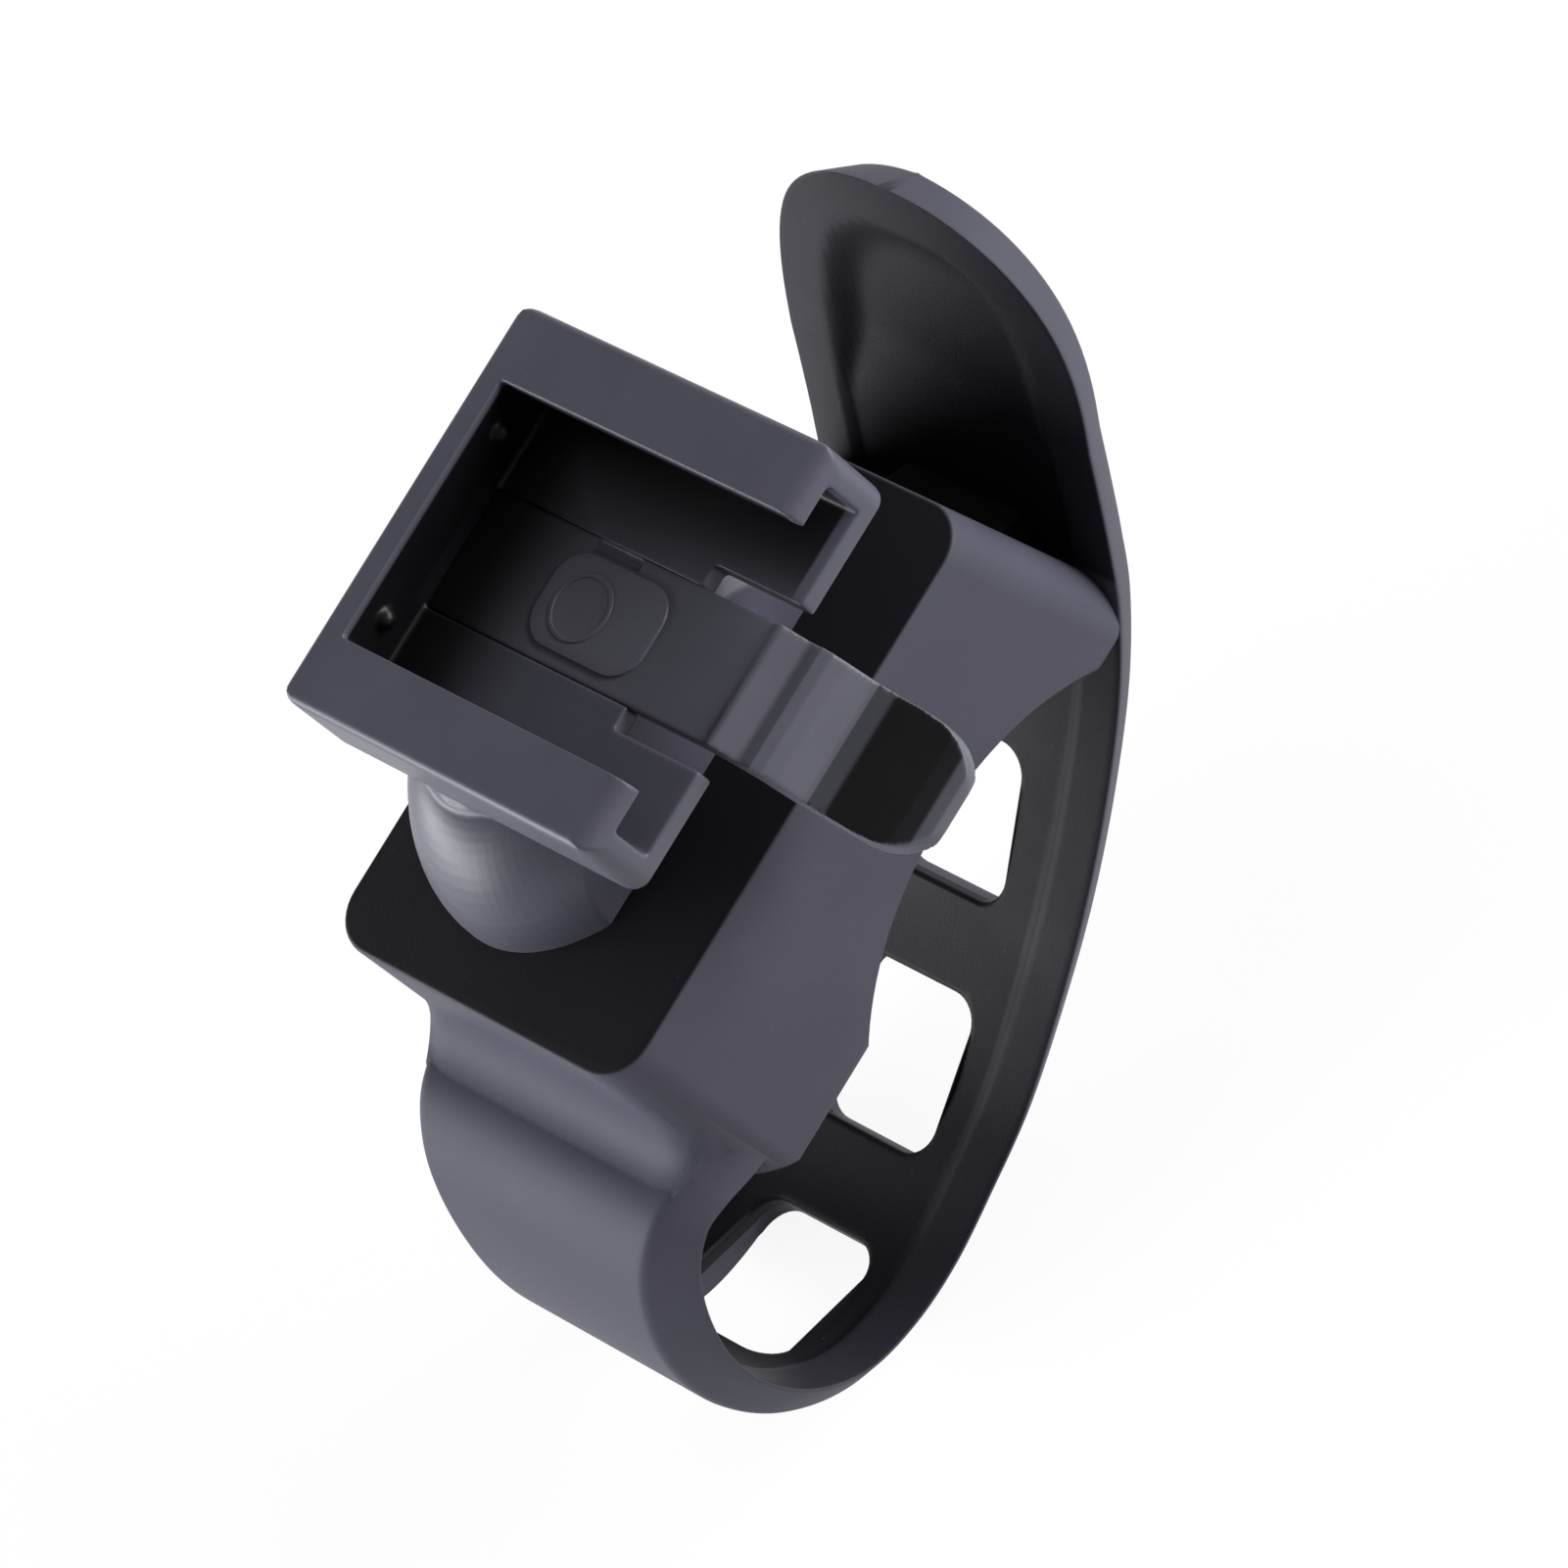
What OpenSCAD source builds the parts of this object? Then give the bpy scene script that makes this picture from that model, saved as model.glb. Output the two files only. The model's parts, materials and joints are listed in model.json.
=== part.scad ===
// Bike light clip: a rubber saddle and strap for a handlebar, with a slide-in light holder.
// The origin is on the handlebar's axis, under the middle of the seat.
// +X points to the hook and pull tab, +Y along the bar to the holder's closed end, +Z out of the bar.

/* [Saddle] */
// Diameter of the handlebar that the seat fits
bar_d = 31.8; // [28:0.2:34]
// Rubber between the top of the bar and the top of the saddle
saddle_rise = 11.2; // [10:0.2:14]
// Length of the saddle's top across the bar
saddle_w = 34; // [32:0.5:38]
// Width of the saddle along the bar
saddle_l = 22.4; // [20.4:0.2:24]
// Distance of the seat's centre from the middle of the saddle's top
seat_offset = 4; // [3:0.25:5]
// Depth of the saddle's two jaws below its top
jaw_depth = 15.3; // [14.6:0.1:16]
// How far the hook side of the saddle leans out at its foot
flank_lean = 2.35; // [1.6:0.05:2.8]
// Radius of the saddle's upright corners
saddle_corner = 2.7; // [1.5:0.1:3.2]
// Chamfer round the seat's two ends
seat_chamfer = 0.7; // [0.3:0.1:1]

/* [Strap] */
// Thickness of the strap
strap_t = 2.4; // [2:0.1:2.8]
// Depth of the slack loop below the saddle's top, to the strap's inner face
loop_depth = 33; // [32:0.25:35]
// How much narrower the strap's outer face is on each side
strap_slant = 1.6; // [1:0.1:2]
// Width of the border round the recess on the strap's inner face
strap_border = 3; // [2.4:0.1:3.4]
// Depth of that recess
strap_recess = 0.3; // [0.1:0.05:0.4]
// Length of each strap window along the strap
window_l = 9; // [8:0.1:9.6]
// Width of each strap window across the strap
window_w = 8.8; // [8:0.1:9.4]
// Corner radius of a strap window
window_r = 1.7; // [1:0.1:2]
// Distance between the middles of two windows along the strap
window_pitch = 14.2; // [13.4:0.1:14.6]
// Length of the pull tab's rounded end
tab_l = 12.5; // [11:0.25:13]
// Radius of the thumb dish in the pull tab
dish_r = 7.2; // [6:0.1:7.6]
// Depth of the thumb dish
dish_depth = 0.8; // [0.4:0.05:1]

/* [Holder] */
// Width of the holder across the bar
holder_w = 23.7; // [23:0.1:25]
// Length of the holder along the bar
holder_l = 23; // [22.5:0.1:24]
// Height of the holder from its underside to its front face
holder_h = 5.4; // [5.2:0.1:6.2]
// Distance of the holder's centre from the bar's axis, across the bar
holder_offset = -0.8; // [-1.2:0.1:-0.4]
// Distance of the holder's centre from the saddle's centre, along the bar
holder_shift = -0.6; // [-1:0.1:0]
// Gap between the saddle's top and the holder's underside
stand_h = 7.6; // [7:0.1:9]
// Thickness of the holder's floor
floor_t = 1.25; // [1.1:0.05:1.4]
// Clear height of the light's slot
slot_h = 2.95; // [2.7:0.05:3.2]
// Clear width of the light's slot
slot_w = 20.2; // [19.8:0.1:20.6]
// Width of the opening between the two lips
mouth_w = 15.4; // [14.6:0.1:16]
// Thickness of the closed end wall above the lip
end_wall = 1.6; // [1.4:0.1:2]
// Radius of the lips' rolled ends at the open end
lip_roll = 1.5; // [0.8:0.1:1.8]
// Radius of the holder's upright corners
holder_corner = 1.1; // [0.6:0.1:1.5]

/* [Release latch] */
// Width of the latch tongue
tongue_w = 7.1; // [6.6:0.1:7.4]
// Width of the slot on each side of the tongue
tongue_gap = 1.3; // [1:0.05:1.5]
// Length of the tongue from its bending line to the holder's open end
tongue_l = 6.3; // [5.8:0.1:6.8]
// Height of the catch above the floor
catch_h = 0.35; // [0.2:0.05:0.5]
// Reach of the thumb tab past the holder's open end
thumb_l = 9.8; // [8.8:0.1:10.6]
// Drop of the thumb tab's end below the floor
thumb_drop = 6.2; // [5.4:0.1:6.6]
// Radius of the thumb tab's end corners
thumb_r = 2.9; // [2:0.1:3.2]

/* [Pedestal and hook] */
// Half length of the pedestal's foot across the bar
pedestal_a = 13.8; // [12.5:0.1:14.2]
// Half width of the pedestal's foot along the bar
pedestal_b = 9.4; // [8.8:0.1:9.6]
// Share of the foot's size left at the pedestal's head
pedestal_head = 0.66; // [0.6:0.01:0.72]
// Width of the hook along the bar
hook_w = 6; // [5:0.1:7]
// Thickness of the hook's arm
hook_t = 1.9; // [1.6:0.1:2]
// Height of the hook's nose above its arm
nose_h = 2.1; // [1.6:0.1:2.4]
// Thickness of the anchor plate inside the rubber
anchor_t = 1.6; // [1.2:0.1:2]
// Rubber between the anchor plate and the saddle's top
anchor_cover = 1.8; // [1.4:0.1:2.2]

/* [Hidden] */
$fn = 64;
bar_r = bar_d / 2;
top_z = bar_r + saddle_rise;
mid_x = -seat_offset;
half_w = saddle_w / 2;
half_l = saddle_l / 2;
clear = 0.05;
over = 0.01;
// How far a corner's arc runs past the faces that it joins, so that it meets them at a slight angle
corner_blend = 0.02;
// Rounding at the foot of the saddle's leaning flank
foot_round = 2.2;

// The strap's inner face from its root to the foot of the pull tab. Each row holds the distance
// from the saddle's middle as a share of half its length, the depth below its top as a share of
// the loop's depth, and half the strap's width as a share of half the saddle's.
strap_line = [
    [-0.80, -0.405, 0.93], [-0.96, -0.392, 0.93], [-1.09, -0.378, 0.92], [-1.19, -0.385, 0.91],
    [-1.30, -0.440, 0.89], [-1.39, -0.540, 0.86], [-1.44, -0.660, 0.84], [-1.43, -0.780, 0.83],
    [-1.36, -0.885, 0.83], [-1.22, -0.965, 0.84], [-1.02, -1.000, 0.85], [-0.80, -1.003, 0.86],
    [-0.55, -0.975, 0.88], [-0.30, -0.938, 0.90], [0.00, -0.866, 0.92], [0.29, -0.778, 0.95],
    [0.58, -0.672, 0.98], [0.86, -0.553, 1.00], [1.07, -0.440, 1.00], [1.19, -0.345, 1.00],
    [1.29, -0.255, 1.00], [1.38, -0.170, 1.00]
];
// How far the pull tab's end lies past its foot, across the bar and up
tab_run = [5.9, 12.0];
tab_bluntness = 2.25;
line_steps = 3;
tab_steps = 8;

function lerp(a, b, t) = a + (b - a) * t;
function spline(a, b, c, d, t) =
    0.5 * (2 * b + (c - a) * t + (2 * a - 5 * b + 4 * c - d) * t * t
        + (3 * b - a - 3 * c + d) * t * t * t);
function knot(i) = strap_line[min(max(i, 0), len(strap_line) - 1)];
function real_row(p) = [mid_x + p.x * half_w, top_z + p.y * loop_depth, p.z * half_l];
last_knot = len(strap_line) - 1;
tab_foot = real_row(strap_line[last_knot]);
tab_len = norm(tab_run);
function tab_half(t) =
    let (past = max(0, (t * tab_len - (tab_len - tab_l)) / tab_l))
    half_l * pow(max(0, 1 - pow(past, tab_bluntness)), 1 / tab_bluntness);
body_rows = [
    for (i = [0 : last_knot - 1], k = [0 : line_steps - 1])
        real_row(spline(knot(i - 1), knot(i), knot(i + 1), knot(i + 2), k / line_steps))
];
tab_rows = [
    for (k = [0 : tab_steps])
        let (t = sin(90 * k / tab_steps))
        [tab_foot.x + tab_run.x * t + 0.5 * sin(180 * t), tab_foot.y + tab_run.y * t,
            max(tab_half(t), 1.2)]
];
rows = concat(body_rows, tab_rows);
row_count = len(rows);

function flat(p) = [p.x, p.y];
function along(i) =
    let (d = flat(rows[min(i + 1, row_count - 1)]) - flat(rows[max(i - 1, 0)]))
    d / norm(d);
function outward(i) = [along(i).y, -along(i).x];
function run_to(i) = i <= 0 ? 0 : run_to(i - 1) + norm(flat(rows[i]) - flat(rows[i - 1]));
runs = [for (i = [0 : row_count - 1]) run_to(i)];
function row_at(s, i = 0) = i >= row_count - 2 || runs[i + 1] >= s ? i : row_at(s, i + 1);
function share_at(s) = (s - runs[row_at(s)]) / (runs[row_at(s) + 1] - runs[row_at(s)]);
function point_at(s) = lerp(flat(rows[row_at(s)]), flat(rows[row_at(s) + 1]), share_at(s));
function angle_at(s) =
    let (i = row_at(s), d = flat(rows[i + 1]) - flat(rows[i]))
    atan2(d.y, d.x);

// The hook stands against the upper end of the last window, just above the jaw's foot
body_count = len(body_rows);
flank_angle = atan2(flank_lean, jaw_depth - foot_round);
hook_at = runs[body_count - 2 * line_steps];
window_at = [for (k = [3 : -1 : 0]) hook_at - window_l / 2 - k * window_pitch];
hook_point = point_at(hook_at);
hook_angle = angle_at(hook_at);

holder_x = holder_offset;
under_z = top_z + stand_h;
floor_z = under_z + floor_t;
face_z = under_z + holder_h;
open_y = holder_shift - holder_l / 2;
closed_y = holder_shift + holder_l / 2;
bend_y = open_y + tongue_l;
bend_z = under_z + floor_t / 2;
// The tongue and the marks on the floor lie a little off the holder's middle
tongue_x = holder_x - 0.25;
pad_x = holder_x - 0.3;
pad_y = holder_shift - 0.5;
pad_size = [5.4, 8];
pad_t = 0.12;
ring_r = 1.95;
ring_line = 0.2;
dome_r = 0.6;
seam_line = 0.12;
// The rigid plate inside the rubber, and the neck that carries the pedestal through the rubber
anchor_x = mid_x + 1.5;
plate_size = [22, 13];
neck_size = [14, 9];
plate_z = top_z - anchor_cover;
// Radius of the fillet above the strap's root
root_r = 3.6;

module rounded_rect(w, l, r) {
    square([w - 2 * r, l], center = true);
    square([w, l - 2 * r], center = true);
    for (x = [-1, 1], y = [-1, 1]) translate([x * (w / 2 - r), y * (l / 2 - r)]) circle(r);
}

// A solid drawn in the X-Z plane and centred on Y
module across(width) {
    translate([0, width / 2, 0]) rotate([90, 0, 0]) linear_extrude(width) children();
}

// A solid drawn in the Y-Z plane and centred on X
module sideways(width) {
    translate([-width / 2, 0, 0]) rotate([90, 0, 90]) linear_extrude(width) children();
}

module saddle_outline() {
    foot = top_z - jaw_depth;
    left = mid_x - half_w;
    right = mid_x + half_w;
    polygon([
        [left, top_z], [right, top_z], [right + flank_lean, foot + foot_round],
        [right + flank_lean - 0.2, foot + 1.1], [right + flank_lean - 0.9, foot + 0.4],
        [right + flank_lean - 2, foot], [0, foot], [left + 2.6, foot], [left + 0.3, foot + 1.9],
        [left, foot + 4]
    ]);
}

// What rounds one upright corner: a square post less a round one, on the side that the corner faces
module corner_post(dir_x, dir_y) {
    size = saddle_corner + 3;
    difference() {
        translate([dir_x < 0 ? -size : 0, dir_y < 0 ? -size : 0, 0]) cube([size, size, 2 * jaw_depth]);
        translate([0, 0, -1]) cylinder(r = saddle_corner, h = 2 * jaw_depth + 2);
    }
}

module saddle_corners() {
    inset = saddle_corner - corner_blend;
    for (side = [-1, 1]) {
        translate([mid_x + half_w, 0, top_z]) rotate([0, -flank_angle, 0])
            translate([-inset, side * (half_l - inset), -1.5 * jaw_depth]) corner_post(1, side);
        translate([mid_x - half_w + inset, side * (half_l - inset), top_z - 1.5 * jaw_depth])
            corner_post(-1, side);
    }
}

module saddle_block() {
    difference() {
        across(saddle_l) saddle_outline();
        saddle_corners();
        translate([0, half_l + 1, 0]) rotate([90, 0, 0]) cylinder(r = bar_r, h = saddle_l + 2, $fn = 128);
        for (side = [-1, 1])
            translate([0, side * half_l, 0]) rotate([side * 90, 0, 0])
                translate([0, 0, -over]) cylinder(r1 = bar_r + seat_chamfer, r2 = bar_r, h = seat_chamfer, $fn = 128);
    }
}

// The fillet in the valley where the strap leaves the saddle
module root_fillet() {
    left = mid_x - half_w;
    neck = real_row(strap_line[2]);
    outer_z = neck.y + strap_t;
    across(2 * (half_l - saddle_corner - 0.2))
        polygon(concat(
            [[left + 1, outer_z + root_r + 1]],
            [for (a = [0 : 9 : 81]) [left - root_r * (1 - cos(a)), outer_z - 0.1 + root_r * (1 - sin(a))]],
            [[left - root_r, outer_z - 1], [left + 1, neck.y + 0.5]]
        ));
}

function recess_here(i) = strap_recess * min(1, max(0, (i - 3 * line_steps) / line_steps))
    * min(1, max(0, (body_count - i) / line_steps));
function section(h, dip) =
    let (slant = min(strap_slant, h * 0.3), rim = min(strap_border, h * 0.6))
    [
        [-h, 0.35], [0.35 - h, 0], [rim - h, 0], [rim + dip - h, dip],
        [h - rim - dip, dip], [h - rim, 0], [h - 0.35, 0], [h, 0.35],
        [h - slant, strap_t - 0.5], [h - slant - 0.6, strap_t],
        [slant + 0.6 - h, strap_t], [slant - h, strap_t - 0.5]
    ];

module strap_band() {
    sides = len(section(half_l, strap_recess));
    points = [
        for (i = [0 : row_count - 1])
            for (q = section(rows[i].z, max(recess_here(i), 0.02)))
                [rows[i].x + outward(i).x * q.y, q.x, rows[i].y + outward(i).y * q.y]
    ];
    last = (row_count - 1) * sides;
    faces = concat(
        [[for (j = [sides - 1 : -1 : 0]) j]],
        [for (i = [0 : row_count - 2], j = [0 : sides - 1])
            let (a = i * sides + j, b = i * sides + (j + 1) % sides)
            each [[a, b, b + sides], [a, b + sides, a + sides]]],
        [[for (j = [0 : sides - 1]) last + j]]
    );
    polyhedron(points = points, faces = faces, convexity = 8);
}

module strap_windows() {
    for (s = window_at) {
        p = point_at(s);
        translate([p.x, 0, p.y]) rotate([0, -angle_at(s), 0])
            translate([0, 0, -strap_t - 3]) linear_extrude(strap_t + 5) rounded_rect(window_l, window_w, window_r);
    }
}

module thumb_dish() {
    ball = (dish_r * dish_r + dish_depth * dish_depth) / (2 * dish_depth);
    s = runs[body_count] + tab_len * 0.36;
    p = point_at(s);
    translate([p.x, 0, p.y]) rotate([0, -angle_at(s), 0]) intersection() {
        translate([0, 0, ball - dish_depth]) sphere(r = ball, $fn = 96);
        translate([0, 0, -dish_depth - 1]) cylinder(r = dish_r + 0.5, h = dish_depth + 3);
    }
}

// The rigid plate and arm that the rubber is moulded round, and the hook at the arm's end
module anchor() {
    reach_in = 3.4;
    climb = [cos(hook_angle), sin(hook_angle)];
    arm_end = hook_point - reach_in * [climb.y, -climb.x];
    edge = anchor_x + plate_size.x / 2;
    translate([anchor_x, 0, plate_z - anchor_t]) linear_extrude(anchor_t)
        rounded_rect(plate_size.x, plate_size.y, 2);
    translate([anchor_x, 0, plate_z - over]) linear_extrude(anchor_cover + over)
        rounded_rect(neck_size.x, neck_size.y, 2);
    across(hook_w) polygon([
        [edge - 4.5, plate_z - anchor_t], [edge - 4.5, plate_z], [edge + 0.1, plate_z],
        arm_end, arm_end - hook_t * climb, [edge - 1.9, plate_z - anchor_t]
    ]);
    hook();
}

module hook() {
    reach = strap_t + 0.3;
    translate([hook_point.x, 0, hook_point.y]) rotate([0, -hook_angle, 0]) across(hook_w) {
        translate([-hook_t - 0.1, -reach - 1.3]) square([hook_t, reach + 1.3 + 3.6]);
        translate([-hook_t - 0.1, -reach - 1.3]) square([hook_t + nose_h, 1.3]);
    }
}

module pedestal() {
    foot_y = holder_shift + 2.2;
    difference() {
        translate([mid_x + 0.2, foot_y, top_z]) scale([pedestal_a / pedestal_b, 1, 1])
            rotate_extrude($fn = 72) polygon(concat(
                [[0, 0], [pedestal_b, 0]],
                [for (a = [10 : 10 : 90]) [
                    pedestal_b * lerp(pedestal_head, 1, cos(a)), (stand_h + over) * sin(a)]],
                [[0, stand_h + over]]
            ));
        translate([mid_x - 20, open_y - 3, top_z - 1]) cube([40, bend_y + 0.9 - open_y + 3, stand_h + 2]);
    }
}

module holder_shell() {
    roll_z = face_z - lip_roll;
    intersection() {
        translate([holder_x, holder_shift, under_z]) linear_extrude(holder_h) rounded_rect(holder_w, holder_l, holder_corner);
        translate([holder_x, 0, 0]) sideways(holder_w + 2) union() {
            translate([open_y, under_z]) square([holder_l, holder_h - lip_roll]);
            translate([open_y + lip_roll, under_z]) square([holder_l - lip_roll - 0.4, holder_h]);
            translate([open_y + lip_roll, roll_z]) circle(lip_roll);
            translate([closed_y - 0.4, face_z - 0.4]) circle(0.4, $fn = 24);
            translate([open_y + lip_roll, under_z]) square([holder_l - lip_roll, holder_h - 0.4]);
        }
        translate([holder_x, 0, under_z + holder_h / 2]) translate([0, holder_shift, 0]) across(holder_l + 2)
            rounded_rect(holder_w, holder_h, 0.45);
    }
}

module holder_floor_marks() {
    for (side = [-1, 1])
        translate([tongue_x + side * (tongue_w / 2 + 0.05) - seam_line / 2, bend_y, floor_z - 0.1])
            cube([seam_line, closed_y - end_wall - bend_y, 1]);
    translate([tongue_x + tongue_w / 2 - 0.75, pad_y - 0.6, floor_z - 0.25]) cube([0.7, 3.4, 1]);
}

module floor_pad() {
    translate([pad_x, pad_y, floor_z - over]) {
        linear_extrude(pad_t + over) rounded_rect(pad_size.x, pad_size.y, 1.9);
        translate([-0.1, 1.2, 0]) difference() {
            cylinder(r = ring_r, h = 2 * pad_t, $fn = 48);
            translate([0, 0, -1]) cylinder(r = ring_r - ring_line, h = 2, $fn = 48);
        }
    }
}

module holder() color([0.27, 0.26, 0.31]) {
    difference() {
        holder_shell();
        translate([holder_x - slot_w / 2, open_y - 1, floor_z]) cube([slot_w, holder_l + 1 - end_wall, slot_h]);
        translate([holder_x - mouth_w / 2, open_y - 1, floor_z]) cube([mouth_w, holder_l + 1 - end_wall, holder_h]);
        translate([tongue_x - tongue_w / 2 - tongue_gap, open_y - 1, under_z - 1])
            cube([tongue_w + 2 * tongue_gap, tongue_l + 1, floor_t + 2]);
        translate([tongue_x - tongue_w / 2 - clear, bend_y, bend_z]) rotate([0, 90, 0])
            cylinder(r = floor_t / 2 + clear, h = tongue_w + 2 * clear, $fn = 48);
        holder_floor_marks();
    }
    floor_pad();
    for (side = [-1, 1])
        translate([holder_x + side * (mouth_w / 2 - 2.1), closed_y - end_wall, face_z - 2.1])
            sphere(r = dome_r, $fn = 24);
    pedestal();
    anchor();
}

module tongue_profile() {
    translate([bend_y, bend_z]) circle(floor_t / 2, $fn = 48);
    polygon([
        [bend_y, under_z], [bend_y, floor_z], [open_y + 0.9, floor_z], [open_y + 0.35, floor_z + catch_h],
        [open_y + 0.05, floor_z + catch_h], [open_y - 0.5, floor_z - 0.1], [open_y - 1.2, floor_z - 0.65],
        [open_y - 1.6, floor_z - 0.6], [open_y - 2.1, floor_z - 0.55], [open_y - 2.7, floor_z - 0.85],
        [open_y - 3.3, floor_z - 1.5], [open_y - 4.2, floor_z - 2.9], [open_y - 5.2, floor_z - 3.7],
        [open_y - thumb_l, floor_z - thumb_drop], [open_y - thumb_l - 0.1, floor_z - thumb_drop - 0.5],
        [open_y - thumb_l + 0.3, floor_z - thumb_drop - 0.9], [open_y - 5, floor_z - 5.2],
        [open_y - 3, floor_z - 4.0], [open_y - 1.6, floor_z - 2.4], [open_y - 0.2, floor_z - 1.6],
        [open_y + 1, under_z]
    ]);
}

module latch() color([0.2, 0.2, 0.23]) {
    reach = bend_y - open_y + thumb_l + 2;
    translate([tongue_x, 0, 0]) intersection() {
        sideways(tongue_w) tongue_profile();
        translate([0, open_y - thumb_l + reach / 2 - 0.15, floor_z - thumb_drop - 3]) linear_extrude(thumb_drop + 6)
            rounded_rect(tongue_w, reach, thumb_r);
    }
}

module strap_saddle() color([0.31, 0.3, 0.35]) {
    difference() {
        union() {
            saddle_block();
            root_fillet();
            difference() {
                strap_band();
                strap_windows();
                thumb_dish();
            }
        }
        anchor();
    }
}

holder();
latch();
strap_saddle();
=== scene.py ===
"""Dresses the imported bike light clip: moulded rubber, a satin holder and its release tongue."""

import bisect
import json
import math

import bmesh
import bpy
from mathutils import Matrix, Vector
from mathutils.kdtree import KDTree


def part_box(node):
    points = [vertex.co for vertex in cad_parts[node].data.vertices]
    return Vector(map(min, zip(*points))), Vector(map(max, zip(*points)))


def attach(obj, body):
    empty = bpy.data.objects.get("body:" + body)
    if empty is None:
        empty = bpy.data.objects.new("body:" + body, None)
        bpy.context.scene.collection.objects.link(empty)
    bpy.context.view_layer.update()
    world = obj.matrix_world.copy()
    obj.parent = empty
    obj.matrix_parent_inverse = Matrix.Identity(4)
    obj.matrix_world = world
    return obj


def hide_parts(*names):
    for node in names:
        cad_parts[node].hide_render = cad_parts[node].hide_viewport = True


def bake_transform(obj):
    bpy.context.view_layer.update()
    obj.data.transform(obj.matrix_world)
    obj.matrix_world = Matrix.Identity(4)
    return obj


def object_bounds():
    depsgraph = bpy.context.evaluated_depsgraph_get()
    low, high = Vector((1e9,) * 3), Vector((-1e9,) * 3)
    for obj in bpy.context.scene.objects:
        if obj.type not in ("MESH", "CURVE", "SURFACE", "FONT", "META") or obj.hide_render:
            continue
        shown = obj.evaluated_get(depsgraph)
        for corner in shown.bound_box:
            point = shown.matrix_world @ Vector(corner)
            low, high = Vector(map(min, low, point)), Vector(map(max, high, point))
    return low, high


bl_info = {
    "name": "Bike light clip",
    "version": (1, 0, 0),
    "blender": (4, 5, 0),
    "location": "3D View > Sidebar > Light clip",
    "description": "Rubber saddle and strap, slide-in light holder and release tongue",
    "category": "Object",
}

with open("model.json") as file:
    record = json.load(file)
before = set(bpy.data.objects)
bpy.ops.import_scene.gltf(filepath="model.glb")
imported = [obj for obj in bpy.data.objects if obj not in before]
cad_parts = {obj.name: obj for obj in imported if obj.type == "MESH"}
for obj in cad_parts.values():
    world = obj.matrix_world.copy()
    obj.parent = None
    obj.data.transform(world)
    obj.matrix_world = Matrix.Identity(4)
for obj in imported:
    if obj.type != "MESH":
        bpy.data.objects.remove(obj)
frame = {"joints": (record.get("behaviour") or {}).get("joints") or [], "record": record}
CAD_LOW, CAD_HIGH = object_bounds()

# Shapes are worked out in millimetres and made in metres
MM = 0.001
MOUNTS = {mount["name"]: mount for mount in frame["record"]["mounts"]}
BAR_R = MOUNTS["bar_seat"]["dims"]["r_mm"]
HALF_L = MOUNTS["bar_seat"]["dims"]["length_mm"] / 2
HOLDER_X, OPEN_Y = (value / MM for value in MOUNTS["light_slot"]["pos_m"][:2])
BEND_Y, BEND_Z = (value / MM for value in frame["joints"][0]["pos_m"][1:])
LATCH_LOW, LATCH_HIGH = (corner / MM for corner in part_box("latch"))
FACE_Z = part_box("holder")[1].z / MM

# How far a cutting shape reaches past what it cuts
PAST = 1

# The strap's inner face from its root to the foot of the pull tab. Each row holds the distance from
# the saddle's middle as a share of half its length, the depth below its top as a share of the loop's
# depth, half the strap's width as a share of half the saddle's, and how much narrower its outer face is.
STRAP_LINE = [
    (-0.80, -0.405, 0.99, 0.4),
    (-0.96, -0.392, 0.99, 0.6),
    (-1.09, -0.378, 0.98, 1.2),
    (-1.19, -0.385, 0.96, 1.8),
    (-1.30, -0.440, 0.93, 2.2),
    (-1.39, -0.540, 0.89, 2.4),
    (-1.44, -0.660, 0.85, 2.4),
    (-1.43, -0.780, 0.83, 2.4),
    (-1.36, -0.885, 0.83, 2.3),
    (-1.22, -0.965, 0.84, 2.2),
    (-1.02, -1.000, 0.85, 2.1),
    (-0.80, -1.003, 0.86, 2.0),
    (-0.55, -0.975, 0.88, 1.9),
    (-0.30, -0.938, 0.90, 1.8),
    (0.00, -0.866, 0.92, 1.7),
    (0.29, -0.778, 0.95, 1.6),
    (0.58, -0.672, 0.98, 1.6),
    (0.86, -0.553, 1.00, 1.6),
    (1.07, -0.440, 1.00, 1.6),
    (1.19, -0.345, 1.00, 1.6),
    (1.29, -0.255, 1.00, 1.6),
    (1.38, -0.170, 1.00, 1.6),
]
LINE_STEPS = 10
WINDOW_COUNT = 4

# The pull tab: how far it runs out and up, how far it bows, how blunt its end is and half its tip's width
TAB_RUN = (5.9, 12.0)
TAB_BOW = 0.5
TAB_BLUNT = 2.25
TAB_TIP = 0.6
TAB_STEPS = 26

# Along the strap, the recess in its inner face fades in over the first length, and deepens into the
# tab's dish from before the tab's foot to past it. The ramps are the widths of their sloping edges.
RECESS_FADE = 4
DISH_FADE = (4, 2)
RECESS_RAMP = 0.5
DISH_RAMP = 2.5

# Where shade is painted on the strap's inner face, by its depth past the strap's line. It is painted on the
# walls of the dish and windows too, down to one depth and from one distance inside the strap's edge.
FACE_BAND = (-0.4, 0.05)
WALL_DEPTH = 1.2
WALL_INSET = 2

# The feet of the two jaws. Each point holds the distance out from the jaw's own side and the height
# above its foot, on the side of the hook and then on the side of the strap's root.
HOOK_FOOT = [(0, 2.2), (-0.2, 1.1), (-0.9, 0.4), (-2, 0)]
ROOT_FOOT = [(2.6, 0), (0.3, 1.9), (0, 4)]

# The share by which the valley above the strap's root narrows on its way out
VALLEY_TAPER = 0.17

# The pedestal's place, from the saddle's middle and from the holder's, its neck as a share of its foot,
# and how full its side is
PEDESTAL_PLACE = (0.2, 2.2)
PEDESTAL_NECK = 0.66
PEDESTAL_BULGE = 1.4

# The pad's place from the holder's middle, and the ring's from the pad's
PAD_PLACE = Vector((-0.3, -0.5))
RING_PLACE = Vector((-0.1, 1.2))

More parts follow.
